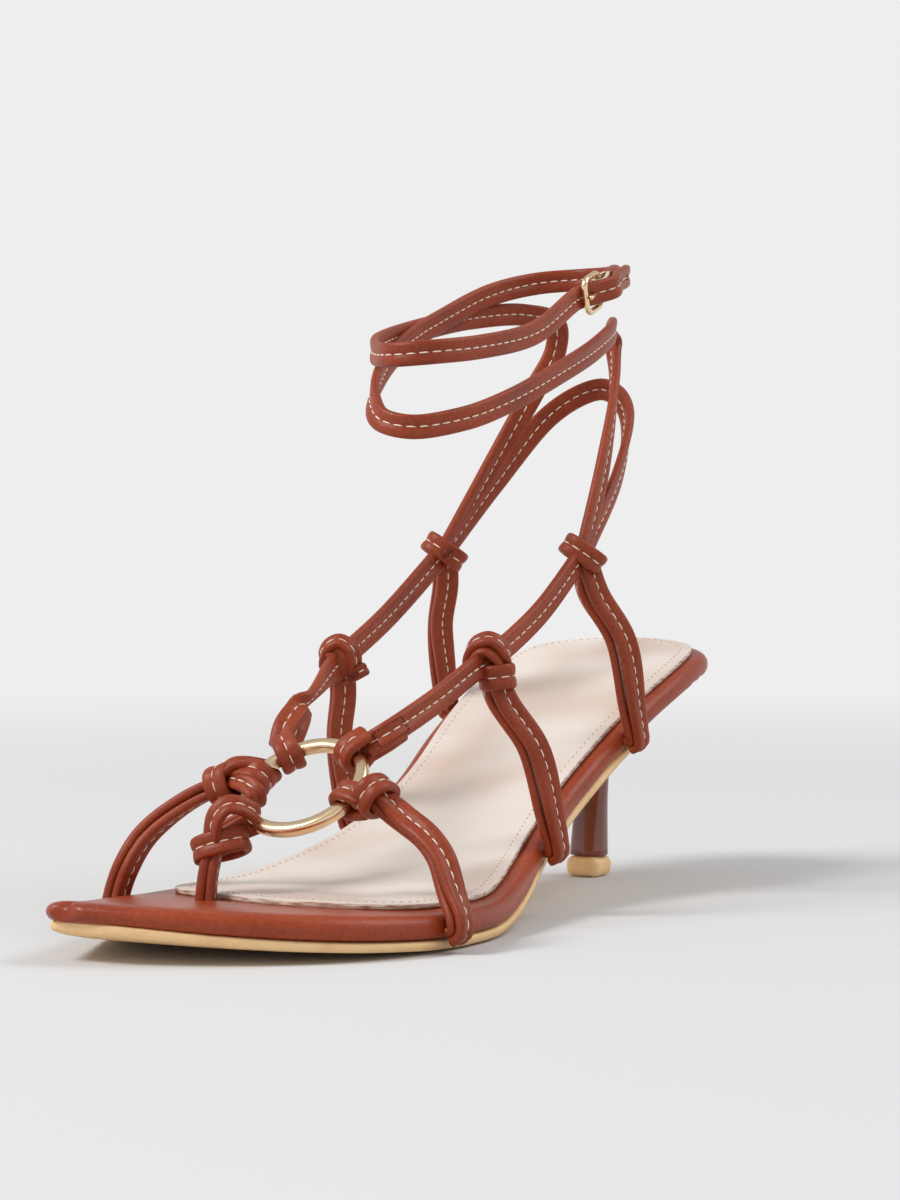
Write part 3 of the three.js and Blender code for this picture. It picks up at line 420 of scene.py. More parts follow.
def thread_bar(ends, out, size, rise=0.1):
    """One stitch between two points (mm) on a face that looks out: a short bowed bar of thread."""
    a, b = ends
    across = np.cross(unit(b - a), out)
    bar = []
    for part in np.linspace(0, 1, 5):
        low = abs(2 * part - 1)
        middle = a + (b - a) * part + out * (rise * math.sin(math.pi * part) - 0.16 * low ** 3)
        r = size / 2 * (1 - 0.35 * low ** 2)
        bar.append([middle + (across * math.cos(t) + out * 0.8 * math.sin(t)) * r
                    for t in np.arange(6) / 6 * 2 * math.pi])
    return grid_mesh(np.array(bar) * MM)


def thread_finish(name, dark, light):
    material, start = new_material(name)
    twist = noise(start, object_place(start), 2600.0)
    surface(start, {"Base Color": ramp(start, twist, (0.3, dark), (0.6, light)), "Roughness": 0.7})
    return material


SEAM_INSIDE = 2.4
SEAM_PITCH = 1.9
SEAM_STITCH = 1.15
SEAM_THREAD = 0.34
FAN = 22.0
low, high = (np.array(corner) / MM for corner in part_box("insole"))


def tree_of(mesh):
    return BVHTree.FromPolygons([v.co for v in mesh.vertices], [p.vertices for p in mesh.polygons])


def run_of(path):
    """Length along a path up to each of its places."""
    return np.concatenate([[0], np.cumsum(np.linalg.norm(np.diff(path, axis=0), axis=1))])


def on_run(run, path, length):
    """Place on a path at a length along it."""
    return np.array([np.interp(length, run, path[:, k]) for k in range(path.shape[1])])


insole_tree = tree_of(insole.data)


def insole_top(x, y):
    return insole_tree.ray_cast(Vector((x * MM, y * MM, 1)), Vector((0, 0, -1)))[0]


def insole_reach(x, y, degrees):
    """The insole's edge seen from a place on it, found by halving."""
    way = np.array([math.cos(math.radians(degrees)), math.sin(math.radians(degrees))])
    inside, outside = 0.0, 70.0
    for _ in range(14):
        middle = (inside + outside) / 2
        if insole_top(x + way[0] * middle, y + way[1] * middle):
            inside = middle
        else:
            outside = middle
    return np.array([x, y]) + way * inside


def insole_middle(y):
    return (insole_reach(0, y, 0)[0] + insole_reach(0, y, 180)[0]) / 2


front_y, back_y = low[1] + FAN, high[1] - FAN
outline = [insole_reach(insole_middle(front_y), front_y, a) for a in range(180, 361, 5)]
outline += [insole_reach(0, y, 0) for y in np.arange(front_y + 4, back_y - 3, 4)]
outline += [insole_reach(insole_middle(back_y), back_y, a) for a in range(0, 181, 5)]
outline += [insole_reach(0, y, 180) for y in np.arange(back_y - 4, front_y + 3, -4)]
outline = np.array(outline)
for _ in range(4):
    outline = (np.roll(outline, 1, 0) + outline * 2 + np.roll(outline, -1, 0)) / 4
along = np.roll(outline, -1, 0) - np.roll(outline, 1, 0)
along /= np.linalg.norm(along, axis=1)[:, None]
outline += np.stack([-along[:, 1], along[:, 0]], 1) * SEAM_INSIDE
outline = np.vstack([outline, outline[:1]])
run = run_of(outline)
seam_heap = Heap()
for place in np.arange(0, run[-1] - SEAM_PITCH, SEAM_PITCH):
    ends = []
    for s in (place, place + SEAM_STITCH):
        hit = insole_top(*on_run(run, outline, s))
        ends.append(np.array(hit) / MM - np.array([0, 0, 0.06]) if hit else None)
    if all(end is not None for end in ends):
        seam_heap.put(thread_bar(ends, np.array([0, 0, 1.0]), SEAM_THREAD))
seam_heap.piece("insole_seam", thread_finish("sock_thread", SEAM_COLOUR, PINK_THREAD_AND_PAINTED_BOUNCE), "insole", "sock")

# Outsole and heel tip. Pale tan sole leather, buffed; its cut edge has the same finish as its faces.
SOLE_COLOUR = linear(244, 204, 150)
SOLE_SHADE = linear(222, 178, 124)

sole_finish, start = new_material("sole_leather")
cloud = noise(start, object_place(start), 90.0, 4.0, 0.6)
fibre = noise(start, drawn_out(start, 5.0), 700.0, 4.0, 0.65)
surface(start, {
    "Base Color": ramp(start, cloud * 0.6 + fibre * 0.4, (0.3, SOLE_SHADE), (0.55, SOLE_COLOUR)),
    "Roughness": 0.55,
    "Normal": bumped(start, fibre, 0.3, 0.0002),
})
outsole = smooth_copy("outsole", "outsole_sheet", 2, 0.75)
SOLE_OUT, SOLE_UP = 0.9, 0.7
outward = np.array([tuple(v.normal) for v in outsole.data.vertices])
swell = outward * np.array([SOLE_OUT, SOLE_OUT, 0.0])
swell[:, 2] += SOLE_UP * (outward[:, 2] > -0.3)
moved(outsole, lambda places: swell * MM)
dress(outsole, sole_finish, "outsole")

low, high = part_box("heel_tip")
bpy.ops.object.select_all(action="DESELECT")
bpy.ops.mesh.primitive_cube_add(size=1, location=(low + high) / 2, scale=high - low)
heel_tip = bpy.context.object
heel_tip.name = "heel_tip_block"
bpy.ops.object.transform_apply(location=True, rotation=True, scale=True)
TIP_CORNER = 0.0021
bpy.ops.object.mode_set(mode="EDIT")
bpy.ops.mesh.select_all(action="DESELECT")
bpy.ops.object.mode_set(mode="OBJECT")
for edge in heel_tip.data.edges:
    ends = [heel_tip.data.vertices[index].co.z for index in edge.vertices]
    edge.select = abs(ends[0] - ends[1]) > TIP_CORNER
bpy.ops.object.mode_set(mode="EDIT")
bpy.ops.mesh.bevel(offset=TIP_CORNER, segments=8, affect="EDGES")
bpy.ops.object.mode_set(mode="OBJECT")
ease = heel_tip.modifiers.new("ease", "BEVEL")
ease.width, ease.segments = 0.0004, 3
bpy.ops.object.modifier_apply(modifier=ease.name)
bpy.ops.object.shade_smooth_by_angle(angle=math.radians(40))
dress(heel_tip, sole_finish, "heel_tip")

# Heel. A slim waisted block covered in lacquer, flaring into the seat: level sections from the
# tip to the footbed, each a table row with its place, its two ends and its half width.
SEAT_OVERHANG = 27.7
SEAT_WIDTH = 55.0
HEEL_REACH = 19.5
TIP_HEIGHT = 5.2
TIP_LENGTH = 9.5
TIP_WIDTH = 9.2
NECK_LENGTH = 6.0
NECK_WIDTH = 8.0
HEEL_ROWS = (
    # rise, back, front, half width, how far the section follows the seat's slope
    (0.000, 0.50 * TIP_LENGTH, -0.42 * TIP_LENGTH, 0.50 * TIP_WIDTH, 0.0),
    (0.340, 0.75 * NECK_LENGTH, -0.25 * NECK_LENGTH, 0.53 * NECK_WIDTH, 0.0),
    (0.565, 0.96 * NECK_LENGTH, -0.08 * NECK_LENGTH, 0.54 * NECK_WIDTH, 0.0),
    (0.680, 0.29 * SEAT_OVERHANG, -0.03 * HEEL_REACH, 0.105 * SEAT_WIDTH, 0.1),
    (0.770, 0.39 * SEAT_OVERHANG, -0.09 * HEEL_REACH, 0.15 * SEAT_WIDTH, 0.3),
    (0.840, 0.50 * SEAT_OVERHANG, -0.26 * HEEL_REACH, 0.215 * SEAT_WIDTH, 0.5),
    (0.900, 0.63 * SEAT_OVERHANG, -0.56 * HEEL_REACH, 0.3 * SEAT_WIDTH, 0.75),
    (0.955, 0.80 * SEAT_OVERHANG, -0.82 * HEEL_REACH, 0.395 * SEAT_WIDTH, 0.9),
    (1.000, 0.945 * SEAT_OVERHANG, -HEEL_REACH, 0.47 * SEAT_WIDTH, 1.0),
)
HEEL_SIDES = 72
HEEL_LEVELS = 48
footbed_tree = tree_of(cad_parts["footbed"].data)
MIDDLE = 0.002


def underside(y):
    """Height of the footbed's underside at y, in metres."""
    hit = footbed_tree.ray_cast(Vector((MIDDLE, y, -1)), Vector((0, 0, 1)))[0]
    return hit.z if hit else float(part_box("footbed")[1].z)


def topside(y):
    hit = footbed_tree.ray_cast(Vector((MIDDLE, y, 1)), Vector((0, 0, -1)))[0]
    return hit.z


def easy(x, xs, ys):
    """Smooth value through a short table, flat where the table turns."""
    xs, ys = np.asarray(xs, float), np.asarray(ys, float)
    slopes = np.diff(ys) / np.diff(xs)
    tangents = np.empty(len(xs))
    tangents[0], tangents[-1] = slopes[0], slopes[-1]
    for n in range(1, len(xs) - 1):
        a, b = slopes[n - 1], slopes[n]
        tangents[n] = 0 if a * b <= 0 else 2 * a * b / (a + b)
    i = int(np.clip(np.searchsorted(xs, x) - 1, 0, len(xs) - 2))
    step = xs[i + 1] - xs[i]
    t = (x - xs[i]) / step
    return ((2 * t ** 3 - 3 * t * t + 1) * ys[i] + (t ** 3 - 2 * t * t + t) * step * tangents[i]
            + (3 * t * t - 2 * t ** 3) * ys[i + 1] + (t ** 3 - t * t) * step * tangents[i + 1])


heel_columns = list(zip(*HEEL_ROWS))
heel_rings = []
for n in range(HEEL_LEVELS):
    rise = math.sin(n / (HEEL_LEVELS - 1) * math.pi / 2)
    back, front, half, lean = (easy(rise, heel_columns[0], column) for column in heel_columns[1:])
    middle = (back + front) / 2
    seat = underside(middle * MM) / MM + 0.5
    level = TIP_HEIGHT + 0.2 + (seat - TIP_HEIGHT - 0.2) * rise
    ring = []
    for i in range(HEEL_SIDES):
        angle = i / HEEL_SIDES * 2 * math.pi
        c, s = math.cos(angle), math.sin(angle)
        power = 1.0 if s > 0 else 0.62
        y = middle + (back - front) / 2 * math.copysign(abs(s) ** power, s)
        slope = underside(y * MM) / MM + 0.5 - seat
        ring.append((half * math.copysign(abs(c) ** 0.8, c) * MM, y * MM, (level + lean * slope) * MM))
    heel_rings.append(ring)
heel = mesh_piece("heel_block", *grid_mesh(heel_rings))
lacquer, start = new_material("heel_lacquer")
cloud = noise(start, drawn_out(start, 0.25), 160.0, 4.0, 0.6)
surface(start, {
    "Base Color": ramp(start, cloud, (0.35, linear(92, 38, 28)), (0.65, linear(132, 58, 42))),
    "Roughness": 0.16 + cloud * 0.12,
    "Coat Weight": 0.7,
    "Coat Roughness": 0.06,
})
dress(heel, lacquer, "heel")

# Ring. Pale gold plated wire, a little squared by its casting, that the front straps and the
# instep straps meet on.
FOOT_LENGTH = 225.0
BALL_WIDTH = 81.0
INSTEP_RISE = 45.0
RING_DIAMETER = 29.0
RING_WIRE = 2.6
RING_TILT = math.radians(39)
RING_AT = (0.722, 0.0, 0.53)


def over_foot(along, across, up):
    """Place over the footbed (mm), by shares of its length, the ball width and the instep."""
    y = SEAT_OVERHANG - along * FOOT_LENGTH
    return np.array([across * BALL_WIDTH, y, topside(y * MM) / MM + up * INSTEP_RISE])


ring_middle = over_foot(*RING_AT)
ring_radius = (RING_DIAMETER - RING_WIRE) / 2
CAST_WIRE = 1.12 * RING_WIRE
ring_up = np.array([0, math.cos(RING_TILT), math.sin(RING_TILT)])
ring_side = np.array([1.0, 0, 0])
ring_normal = np.cross(ring_side, ring_up)


def on_ring(degrees):
    """Middle of the wire at an angle, with the ways outwards and along the wire."""
    angle = math.radians(degrees)
    out = ring_side * math.cos(angle) + ring_up * math.sin(angle)
    way = -ring_side * math.sin(angle) + ring_up * math.cos(angle)
    return ring_middle + out * ring_radius, out, way


WIRE_SQUARE = 0.62
WIRE_SHAPE = [(math.copysign(abs(math.cos(a)) ** WIRE_SQUARE, math.cos(a)),
               math.copysign(abs(math.sin(a)) ** WIRE_SQUARE, math.sin(a)))
              for a in (np.arange(20) / 20 * 2 * math.pi)]
ring_rings = []
for n in range(120):
    at, out, way = on_ring(n * 3)
    ring_rings.append([(at + (out * u + ring_normal * v) * CAST_WIRE / 2) * MM for u, v in WIRE_SHAPE])
ring = mesh_piece("ring_wire", *grid_mesh(ring_rings, closed=True))
gold, start = new_material("pale_gold")
smear = noise(start, object_place(start), 240.0, 3.0)
surface(start, {
    "Base Color": linear(240, 212, 172),
    "Metallic": 1.0,
    "Roughness": 0.16 + smear * 0.14,
})
dress(ring, gold, "ring")

# Straps. Each is a narrow leather band folded on itself and stitched down its middle with pale
# thread, so its edges are full, its middle sinks at the seam and both faces show the stitches.
STRAP_WIDTH = 5.5
STRAP_THICKNESS = 2.1
FIT_GAP = 0.3
STEP = 0.8
SEAM_DEPTH = 0.22
SEAM_WIDTH = 0.55
STITCH_PITCH = 2.75
STITCH_LENGTH = 2.05
STITCH_WIDTH = 0.36
STITCH_START = 0.8
THREAD_PROUD = 0.05
STACK = 0.52  # two straps that run as a pair lie on each other, this share of a thickness off


def spline(points, count):
    """Places along a centripetal Catmull-Rom curve through the points."""
    p = np.asarray(points, float)
    p = np.vstack([2 * p[0] - p[1], p, 2 * p[-1] - p[-2]])
    last = len(p) - 3
    out = []
    for k in range(count + 1):
        t = k / count * last
        i = min(int(t), last - 1)
        t -= i
        a, b, c, d = p[i:i + 4]
        d0, d1, d2 = (max(np.linalg.norm(v) ** 0.5, 1e-4) for v in (b - a, c - b, d - c))
        m1 = ((b - a) / d0 - (c - a) / (d0 + d1) + (c - b) / d1) * d1
        m2 = ((c - b) / d1 - (d - b) / (d1 + d2) + (d - c) / d2) * d1
        out.append((2 * t ** 3 - 3 * t * t + 1) * b + (t ** 3 - 2 * t * t + t) * m1
                   + (3 * t * t - 2 * t ** 3) * c + (t ** 3 - t * t) * m2)
    return np.array(out)


def framed(path, face):
    """Frames with square axes: place, way along, way across and face."""
    tangent = np.gradient(path, axis=0)
    tangent /= np.linalg.norm(tangent, axis=1)[:, None]
    face = face - tangent * np.sum(face * tangent, 1)[:, None]
    face /= np.linalg.norm(face, axis=1)[:, None]
    return path, tangent, np.cross(tangent, face), face


def frames_of(rows, side=0, thickness=STRAP_THICKNESS):
    """Even frames along a route. A row is a place, a face, how far a twin lies off the middle in
    thicknesses, and how far the inner twin is rolled on edge, in degrees."""
    rows = [tuple(row) + (0.0,) * (4 - len(row)) for row in rows]
    places = [row[0] for row in rows]
    length = sum(np.linalg.norm(np.subtract(b, a)) for a, b in zip(places, places[1:]))
    count = max(int(length / STEP * 2), 8)
    path = spline(places, count)
    at = np.linspace(0, len(rows) - 1, count + 1)
    index = np.arange(len(rows))
    extra = np.array([list(row[1]) + [row[2], row[3]] for row in rows], float)
    extra = np.stack([np.interp(at, index, extra[:, k]) for k in range(5)], 1)
    for _ in range(int(length / STEP / 3)):
        extra[1:-1] = (extra[:-2] + extra[1:-1] * 2 + extra[2:]) / 4
    run = run_of(path)
    even = np.linspace(0, run[-1], max(int(run[-1] / STEP), 6) + 1)
    path, extra = (np.stack([np.interp(even, run, m[:, k]) for k in range(m.shape[1])], 1)
                   for m in (path, extra))
    path, tangent, across, face = framed(path, extra[:, :3])
    path = path + face * (side * thickness * extra[:, 3])[:, None]
    if side < 0:
        roll = np.radians(extra[:, 4])[:, None]
        face = face * np.cos(roll) + across * np.sin(roll)
    return framed(path, face)


# Half of the band's section: how far across, and how thick there
BAND_ROWS = ((1.0, 0.0), (0.985, 0.36), (0.93, 0.68), (0.84, 0.89), (0.68, 1.0), (0.42, 0.98),
             (0.2, 0.95), (0.1, 0.92))
BAND_SECTION = list(BAND_ROWS) + [(0.0, 0.9)] + [(-u, v) for u, v in BAND_ROWS[::-1]]
BAND_SECTION += [(u, -v) for u, v in BAND_SECTION[-2:0:-1]]


def band(frames, width=STRAP_WIDTH, thickness=STRAP_THICKNESS, closed=False):
    """Points and faces of a strap along frames, with soft round ends."""
    path, tangent, across, face = frames
    u, v = np.array(BAND_SECTION).T
    groove = SEAM_DEPTH * np.exp(-(u * width / 2 / SEAM_WIDTH) ** 2)
    thick = np.sign(v) * (np.abs(v) * thickness / 2 - groove * (np.abs(v) > 0.5))
    rings = (path[:, None] + across[:, None] * (u * (width / 2))[None, :, None]
             + face[:, None] * thick[None, :, None])
    if not closed:
        ends = []
        for end, way in ((0, -1), (-1, 1)):
            ends.append([path[end] + (rings[end] - path[end]) * s + tangent[end] * way * h
                         for s, h in ((0.93, 0.25), (0.72, 0.5))])
        rings = np.concatenate([np.array(ends[0][::-1]), rings, np.array(ends[1])])
    return grid_mesh(rings * MM, closed)


def stitches(frames, thickness=STRAP_THICKNESS, sides=(1, -1)):
    """Points and faces of the thread that shows along a band, one short bar for each stitch."""
    path, tangent, across, face = frames
    run = run_of(path)
    lift = thickness / 2 * 0.92 - SEAM_DEPTH + THREAD_PROUD
    made = []
    place = STITCH_START
    while place + STITCH_LENGTH < run[-1]:
        for side in sides:
            at, out = ([on_run(run, m, s) for s in (place, place + STITCH_LENGTH)] for m in (path, face))
            ends = [p + n * side * lift for p, n in zip(at, out)]
            made.append(thread_bar(ends, unit(out[0] + out[1]) * side, STITCH_WIDTH))
        place += STITCH_PITCH
    return made


thread = thread_finish("pale_thread", linear(214, 186, 160), linear(240, 226, 208))
rust_thread = thread_finish("rust_thread", linear(66, 16, 5), linear(132, 44, 16))


class Strapwork:
    """Gathers the straps of one part and their stitches, which become two pieces."""

    def __init__(self):
        self.leather, self.sewing = Heap(), Heap()

    def add(self, frames, width=STRAP_WIDTH, thickness=STRAP_THICKNESS, sides=(1, -1), closed=False):
        self.leather.put(band(frames, width, thickness, closed))
        self.sewing.put(stitches(frames, thickness, sides))

    def lay(self, rows, side=0, width=STRAP_WIDTH, thickness=STRAP_THICKNESS, sides=(1, -1)):
        """One strap along a route."""
        frames = frames_of(rows, side, thickness)
        self.add(frames, width, thickness, sides)
        return frames

    def pieces(self, straps, seams, node):
        self.leather.piece(straps, strap_leather, node, "leather")
        self.sewing.piece(seams, thread, node, "leather")


def framed_ring(path, face):
    """Frames of a closed path, with no break where it meets itself."""
    three = framed(np.concatenate([path] * 3), np.concatenate([face] * 3))
    return tuple(m[len(path):2 * len(path)] for m in three)


def ring_of(points, middle):
    """Frames of a closed turn through points, whose outer face looks away from its middle."""
    p = np.asarray(points, float)
    n = len(p)
    path = spline(np.vstack([p[-2:], p, p[:2]]), 12 * (n + 3))
    path = path[24:24 + 12 * n]
    return framed_ring(path, path - middle)


def collar(work, middle, axis, wide, half_wide, half_thick, lean=0.0, width=5.0, thickness=1.9):
    """A tight turn of strap round what it holds: axis is the held strap's way, wide its greater
    width, lean how far one side of the turn sits along the axis."""
    axis = unit(axis)
    wide = unit(np.asarray(wide, float) - axis * np.dot(wide, axis))
    through = np.cross(axis, wide)
    points = []
    for k in range(10):
        a = k / 10 * 2 * math.pi
        c, s = (math.copysign(abs(f(a)) ** 0.8, f(a)) for f in (math.cos, math.sin))
        points.append(middle + wide * half_wide * c + through * half_thick * s + axis * lean * math.cos(a))
    work.add(ring_of(points, middle), width, thickness, (1,), closed=True)


LOOK_TURN = math.radians(35)
LOOK_RIGHT = np.array([math.cos(LOOK_TURN), math.sin(LOOK_TURN), 0.0])
LOOK_NEAR = np.array([math.sin(LOOK_TURN), -math.cos(LOOK_TURN), 0.0])
LOOK_UP = np.array([0.0, 0.0, 1.0])


def seen(middle, right, up, near):
    """Place (mm) from a knot's middle, as seen from the shoe's front outer side."""
    return middle + LOOK_RIGHT * right + LOOK_UP * up + LOOK_NEAR * near


def winding(work, middle, rows, centre=(0.0, 0.0, 0.0), width=4.6, thickness=1.8, sewn=True):
    """A closed turn of strap in a knot, through rows of (right, up, near)."""
    frames = ring_of([seen(middle, *row) for row in rows], seen(middle, *centre))
    work.add(frames, width, thickness, (1,) if sewn else (), closed=True)


def edge(y, side):
    """Distance of the footbed's edge from the middle at y, in mm, with the side's sign."""
    level = (underside(y * MM) + topside(y * MM)) / 2
    hit = footbed_tree.ray_cast(Vector((side, y * MM, level)), Vector((-side, 0, 0)))[0]
    return hit.x / MM


def beside_foot(share, side, lift):
    """Place of a pair beside the footbed's edge, lift above its underside and square to its slope."""
    y = SEAT_OVERHANG - share * FOOT_LENGTH
    reach = 0.5 * STRAP_WIDTH
    widest = max(side * edge(y + part * reach, side) for part in (-1, -0.5, 0, 0.5, 1))
    slope = (underside((y - 2) * MM) - underside((y + 2) * MM)) / MM / 4
    normal = unit((0, slope, 1))
    clear = FIT_GAP + (0.5 + STACK) * STRAP_THICKNESS
    return np.array([side * (widest + clear), y, underside(y * MM) / MM]) + normal * lift


def foot_body(share):
    y = (SEAT_OVERHANG - share * FOOT_LENGTH) * MM
    return (topside(y) - underside(y)) / MM


FOOT_ROWS = (
    # lift (mm), how far it is tucked in (mm), how far the face looks down
    (1.1, 1.5, 1.0),
    (2.0, 0.2, 0.25),
    (3.8, 0.0, 0.0),
)


def foot_rows(share, side):
    """The pair's first rows, against the edge of the sole, its ends tucked under it."""
    out = np.array([side, 0.0, 0.0])
    return [(beside_foot(share, side, lift) - out * tuck, unit(out - LOOK_UP * down), STACK)
            for lift, tuck, down in FOOT_ROWS]


# Toe post. Two straps come up out of the footbed beside the big toe, turn round the ring and
# are held together by a knotted turn round their neck.
toe_post = Strapwork()
POST_WIDTH = 4.9
POST_FACE = np.array([0.9, 0.44, 0.0])
post_rows = [(over_foot(0.797, -0.178, -0.02), POST_FACE, STACK),
             (over_foot(0.793, -0.175, 0.12), POST_FACE, STACK * 0.9),
             (over_foot(0.784, -0.170, 0.27), POST_FACE, STACK * 0.8)]
for side in (-1, 1):
    toe_post.lay(post_rows, side, width=POST_WIDTH)


def ring_turn(work, degrees, towards, reach, pinch=0.35):
    """A strap that goes round the ring's wire and comes back to where it came from."""
    at, out, way = on_ring(degrees)
    sag = (STRAP_WIDTH / 2) ** 2 / (2 * ring_radius)
    radius = RING_WIRE / 2 + FIT_GAP + sag + STRAP_THICKNESS / 2
    drawn = np.asarray(towards) - at
    drawn = unit(drawn - way * np.dot(drawn, way))
    square = np.cross(way, drawn)
    path, face = [], []
    for a in np.linspace(90, 270, 25):
        f = drawn * math.cos(math.radians(a)) + square * math.sin(math.radians(a))
        path.append(at + f * radius)
        face.append(f)
    for s in np.linspace(0, 1, max(int(reach / STEP), 3))[1:]:
        close = 1 - pinch * s ** 1.5
        path.insert(0, at + square * radius * close + drawn * reach * s)
        face.insert(0, square)
        path.append(at - square * radius * close + drawn * reach * s)
        face.append(-square)
    work.add(framed(np.array(path), np.array(face)), sides=(1,))


TOE_ARCH = (
    # right, up, near, from the knot's middle (mm)
    (-0.9, 0.5, 1.2), (-1.0, 3.6, 2.6), (-0.2, 6.9, 3.4), (2.2, 9.0, 3.4), (5.6, 8.6, 2.8),
    (8.3, 6.7, 1.6), (8.4, 5.2, -1.2), (7.0, 4.8, -3.2), (4.4, 4.0, -4.0), (1.6, 2.0, -3.8),
    (-0.4, 0.0, -2.2),
)
TOE_RETURN = ((8.6, 4.8, -1.6), (5.6, 3.6, -1.5), (2.4, 1.6, -1.6), (0.0, -0.6, -1.6))
toe_knot = over_foot(0.782, -0.168, 0.255)
winding(toe_post, toe_knot, TOE_ARCH, centre=(4.2, 5.0, -1.2), width=4.8)
toe_post.lay([(seen(toe_knot, *row), LOOK_NEAR) for row in TOE_RETURN], width=5.2, sides=())
collar(toe_post, seen(toe_knot, 0.9, 0.0, 0.0), (-0.15, 0.25, 1), (1, 0.3, 0), 5.4, 3.4,
       lean=1.3, width=5.6)
toe_post.pieces("toe_post_straps", "toe_post_stitches", "toe_post")

# Front straps. From each edge of the sole a pair of straps arches over the toes to the ring,
# turns round it and is drawn tight by a turn of strap round the neck.
FRONT_STRAPS = (
    # name, side, foot, turn, rows (along, across, up, how far the face looks ahead), knot
    ("inner", -1, 0.779, 172, ((0.777, -0.472, 0.110, 0.0), (0.760, -0.438, 0.275, 0.1),
                               (0.738, -0.360, 0.425, 0.2), (0.724, -0.288, 0.505, 0.2)),
     (0.721, -0.255, 0.525)),
    ("outer", 1, 0.760, -14, ((0.750, 0.493, 0.085, 0.3), (0.741, 0.448, 0.240, 0.6),
                              (0.736, 0.398, 0.330, 0.75), (0.731, 0.330, 0.400, 0.75)),
     (0.732, 0.235, 0.510)),
)
RING_HITCH = (
    # right, up, near of each turn, from the knot's middle (mm)
    ((-4.2, 2.9, 0.6), (-2.0, 5.0, 1.6), (1.2, 5.3, 1.8), (4.6, 4.6, 1.2), (7.4, 3.4, -0.6),
     (5.6, 1.6, -3.6), (0.8, 0.9, -4.4), (-3.4, 1.2, -3.0)),
    ((-2.4, 1.6, 1.6), (0.8, 1.0, 6.4), (2.8, -0.8, 8.8), (3.0, -3.2, 7.2), (1.2, -3.8, 0.6),
     (-2.0, -1.4, -3.4)),
)
for name, side, foot, turn, rows, knot in FRONT_STRAPS:
    straps = Strapwork()
    knot = over_foot(*knot)
    ground = topside((SEAT_OVERHANG - foot * FOOT_LENGTH) * MM) / MM
    route = foot_rows(foot, side)
    for row in rows:
        p = over_foot(*row[:3])
        route.append((p, unit((p[0], -row[3] * INSTEP_RISE, p[2] - ground)), STACK))
    route.append((knot, np.array([0, 0, 1.0]), STACK))
    for twin in (-1, 1):
        straps.lay(route, twin)
    neck = route[-2][0] - knot
    ring_turn(straps, turn, knot, 0.85 * np.linalg.norm(knot - on_ring(turn)[0]))
    collar(straps, knot, neck, (0, 1, 0), 4.4, 3.6, lean=0.6 * side, width=5.4)
    for n, rows in enumerate(RING_HITCH if name == "inner" else ()):
        winding(straps, seen(knot, 3.7, -0.4, 0.6), rows, width=4.4, sewn=n == 1)
    straps.pieces("front_straps_" + name, "front_stitches_" + name, "front_strap_" + name)

# Upper. On each side the instep strap folds round the ring and runs back past two knots to the
# ankle; at each knot a pair of straps from the sole's edge is hitched round it.
INSTEP = {
    # side, turn, rows (along, across, up, how far the face looks out), feet, twist
    "inner": (-1, 131, ((0.662, -0.136, 0.780, 0.45), (0.610, -0.180, 0.850, 0.70),
                        (0.535, -0.230, 0.935, 0.90), (0.505, -0.252, 0.930, 0.90),
                        (0.405, -0.260, 0.940, 0.90), (0.292, -0.247, 0.992, 0.95)),
              (0.432, 0.205), 1.3),
    "outer": (1, 56, ((0.671, 0.173, 0.780, 0.60), (0.600, 0.215, 0.895, 0.80),
                      (0.540, 0.235, 0.958, 0.85), (0.511, 0.237, 0.957, 0.85),
                      (0.412, 0.248, 0.980, 0.90), (0.312, 0.247, 1.040, 0.95)),
              (0.464, 0.255), -0.6),
}
LOOP = (
    # down, how far it bows out, how far its two straps lie apart, share of the twist, roll
    (0.88, 0.2, STACK, 0.3, 0.1),
    (0.50, 0.6, 1.7 * STACK, 1.0, 0.9),
    (0.22, -0.1, 2.4 * STACK, 1.0, 1.0),
    (0.00, 0.0, STACK, 0.7, 1.0),
)
LOOP_ROLL = {"inner": 0.0, "outer": 66.0}
LOOP_BOW = {"inner": 1.0, "outer": 2.6}
LOOP_APART = {"inner": 0.0, "outer": 7.0}
FOLD = 0.42
# Right, up and near (mm) from the strap's first place, and for the bow from its second
FOLD_ROWS = ((-3.0, -3.2, 1.0), (-1.9, 0.6, -1.5), (1.2, 4.4, -6.0))
FOLD_BOW = (-0.1, 2.0, 0.6)
FOLD_END = ((-0.7, -2.6, -0.8), (0.8, 0.6, -3.0), (1.9, 2.8, -6.4), (2.4, 4.0, -9.6))
BOX_REACH = 11.0
FREE_END, FREE_UNDER, FREE_DROP = 0.3, 0.7, 1.3
upper, upper_ties = Strapwork(), Heap()
BOX_INSIDE, BOX_STITCH, BOX_THREAD = 1.0, 0.66, 0.44


def box_stitch(frames, heap):
    """A box sewn in rust thread through a strap and the free end under it."""
    path, tangent, across, face = frames
    last = len(path) - 1
    first = last // 4
    walk = [(k, -1) for k in range(last, first, -1)] + [(first, u) for u in np.linspace(-1, 1, 5)]
    walk += [(k, 1) for k in range(first + 1, last)] + [(last, u) for u in np.linspace(1, -1, 5)]
    half, top = STRAP_WIDTH / 2 - BOX_INSIDE, STRAP_THICKNESS / 2
    for (i, u), (j, v) in zip(walk, walk[1:]):
        a, b = (path[k] + across[k] * w * half + face[k] * top for k, w in ((i, u), (j, v)))
        heap.put(thread_bar((a, a + (b - a) * BOX_STITCH), face[i], BOX_THREAD, BOX_THREAD / 2))


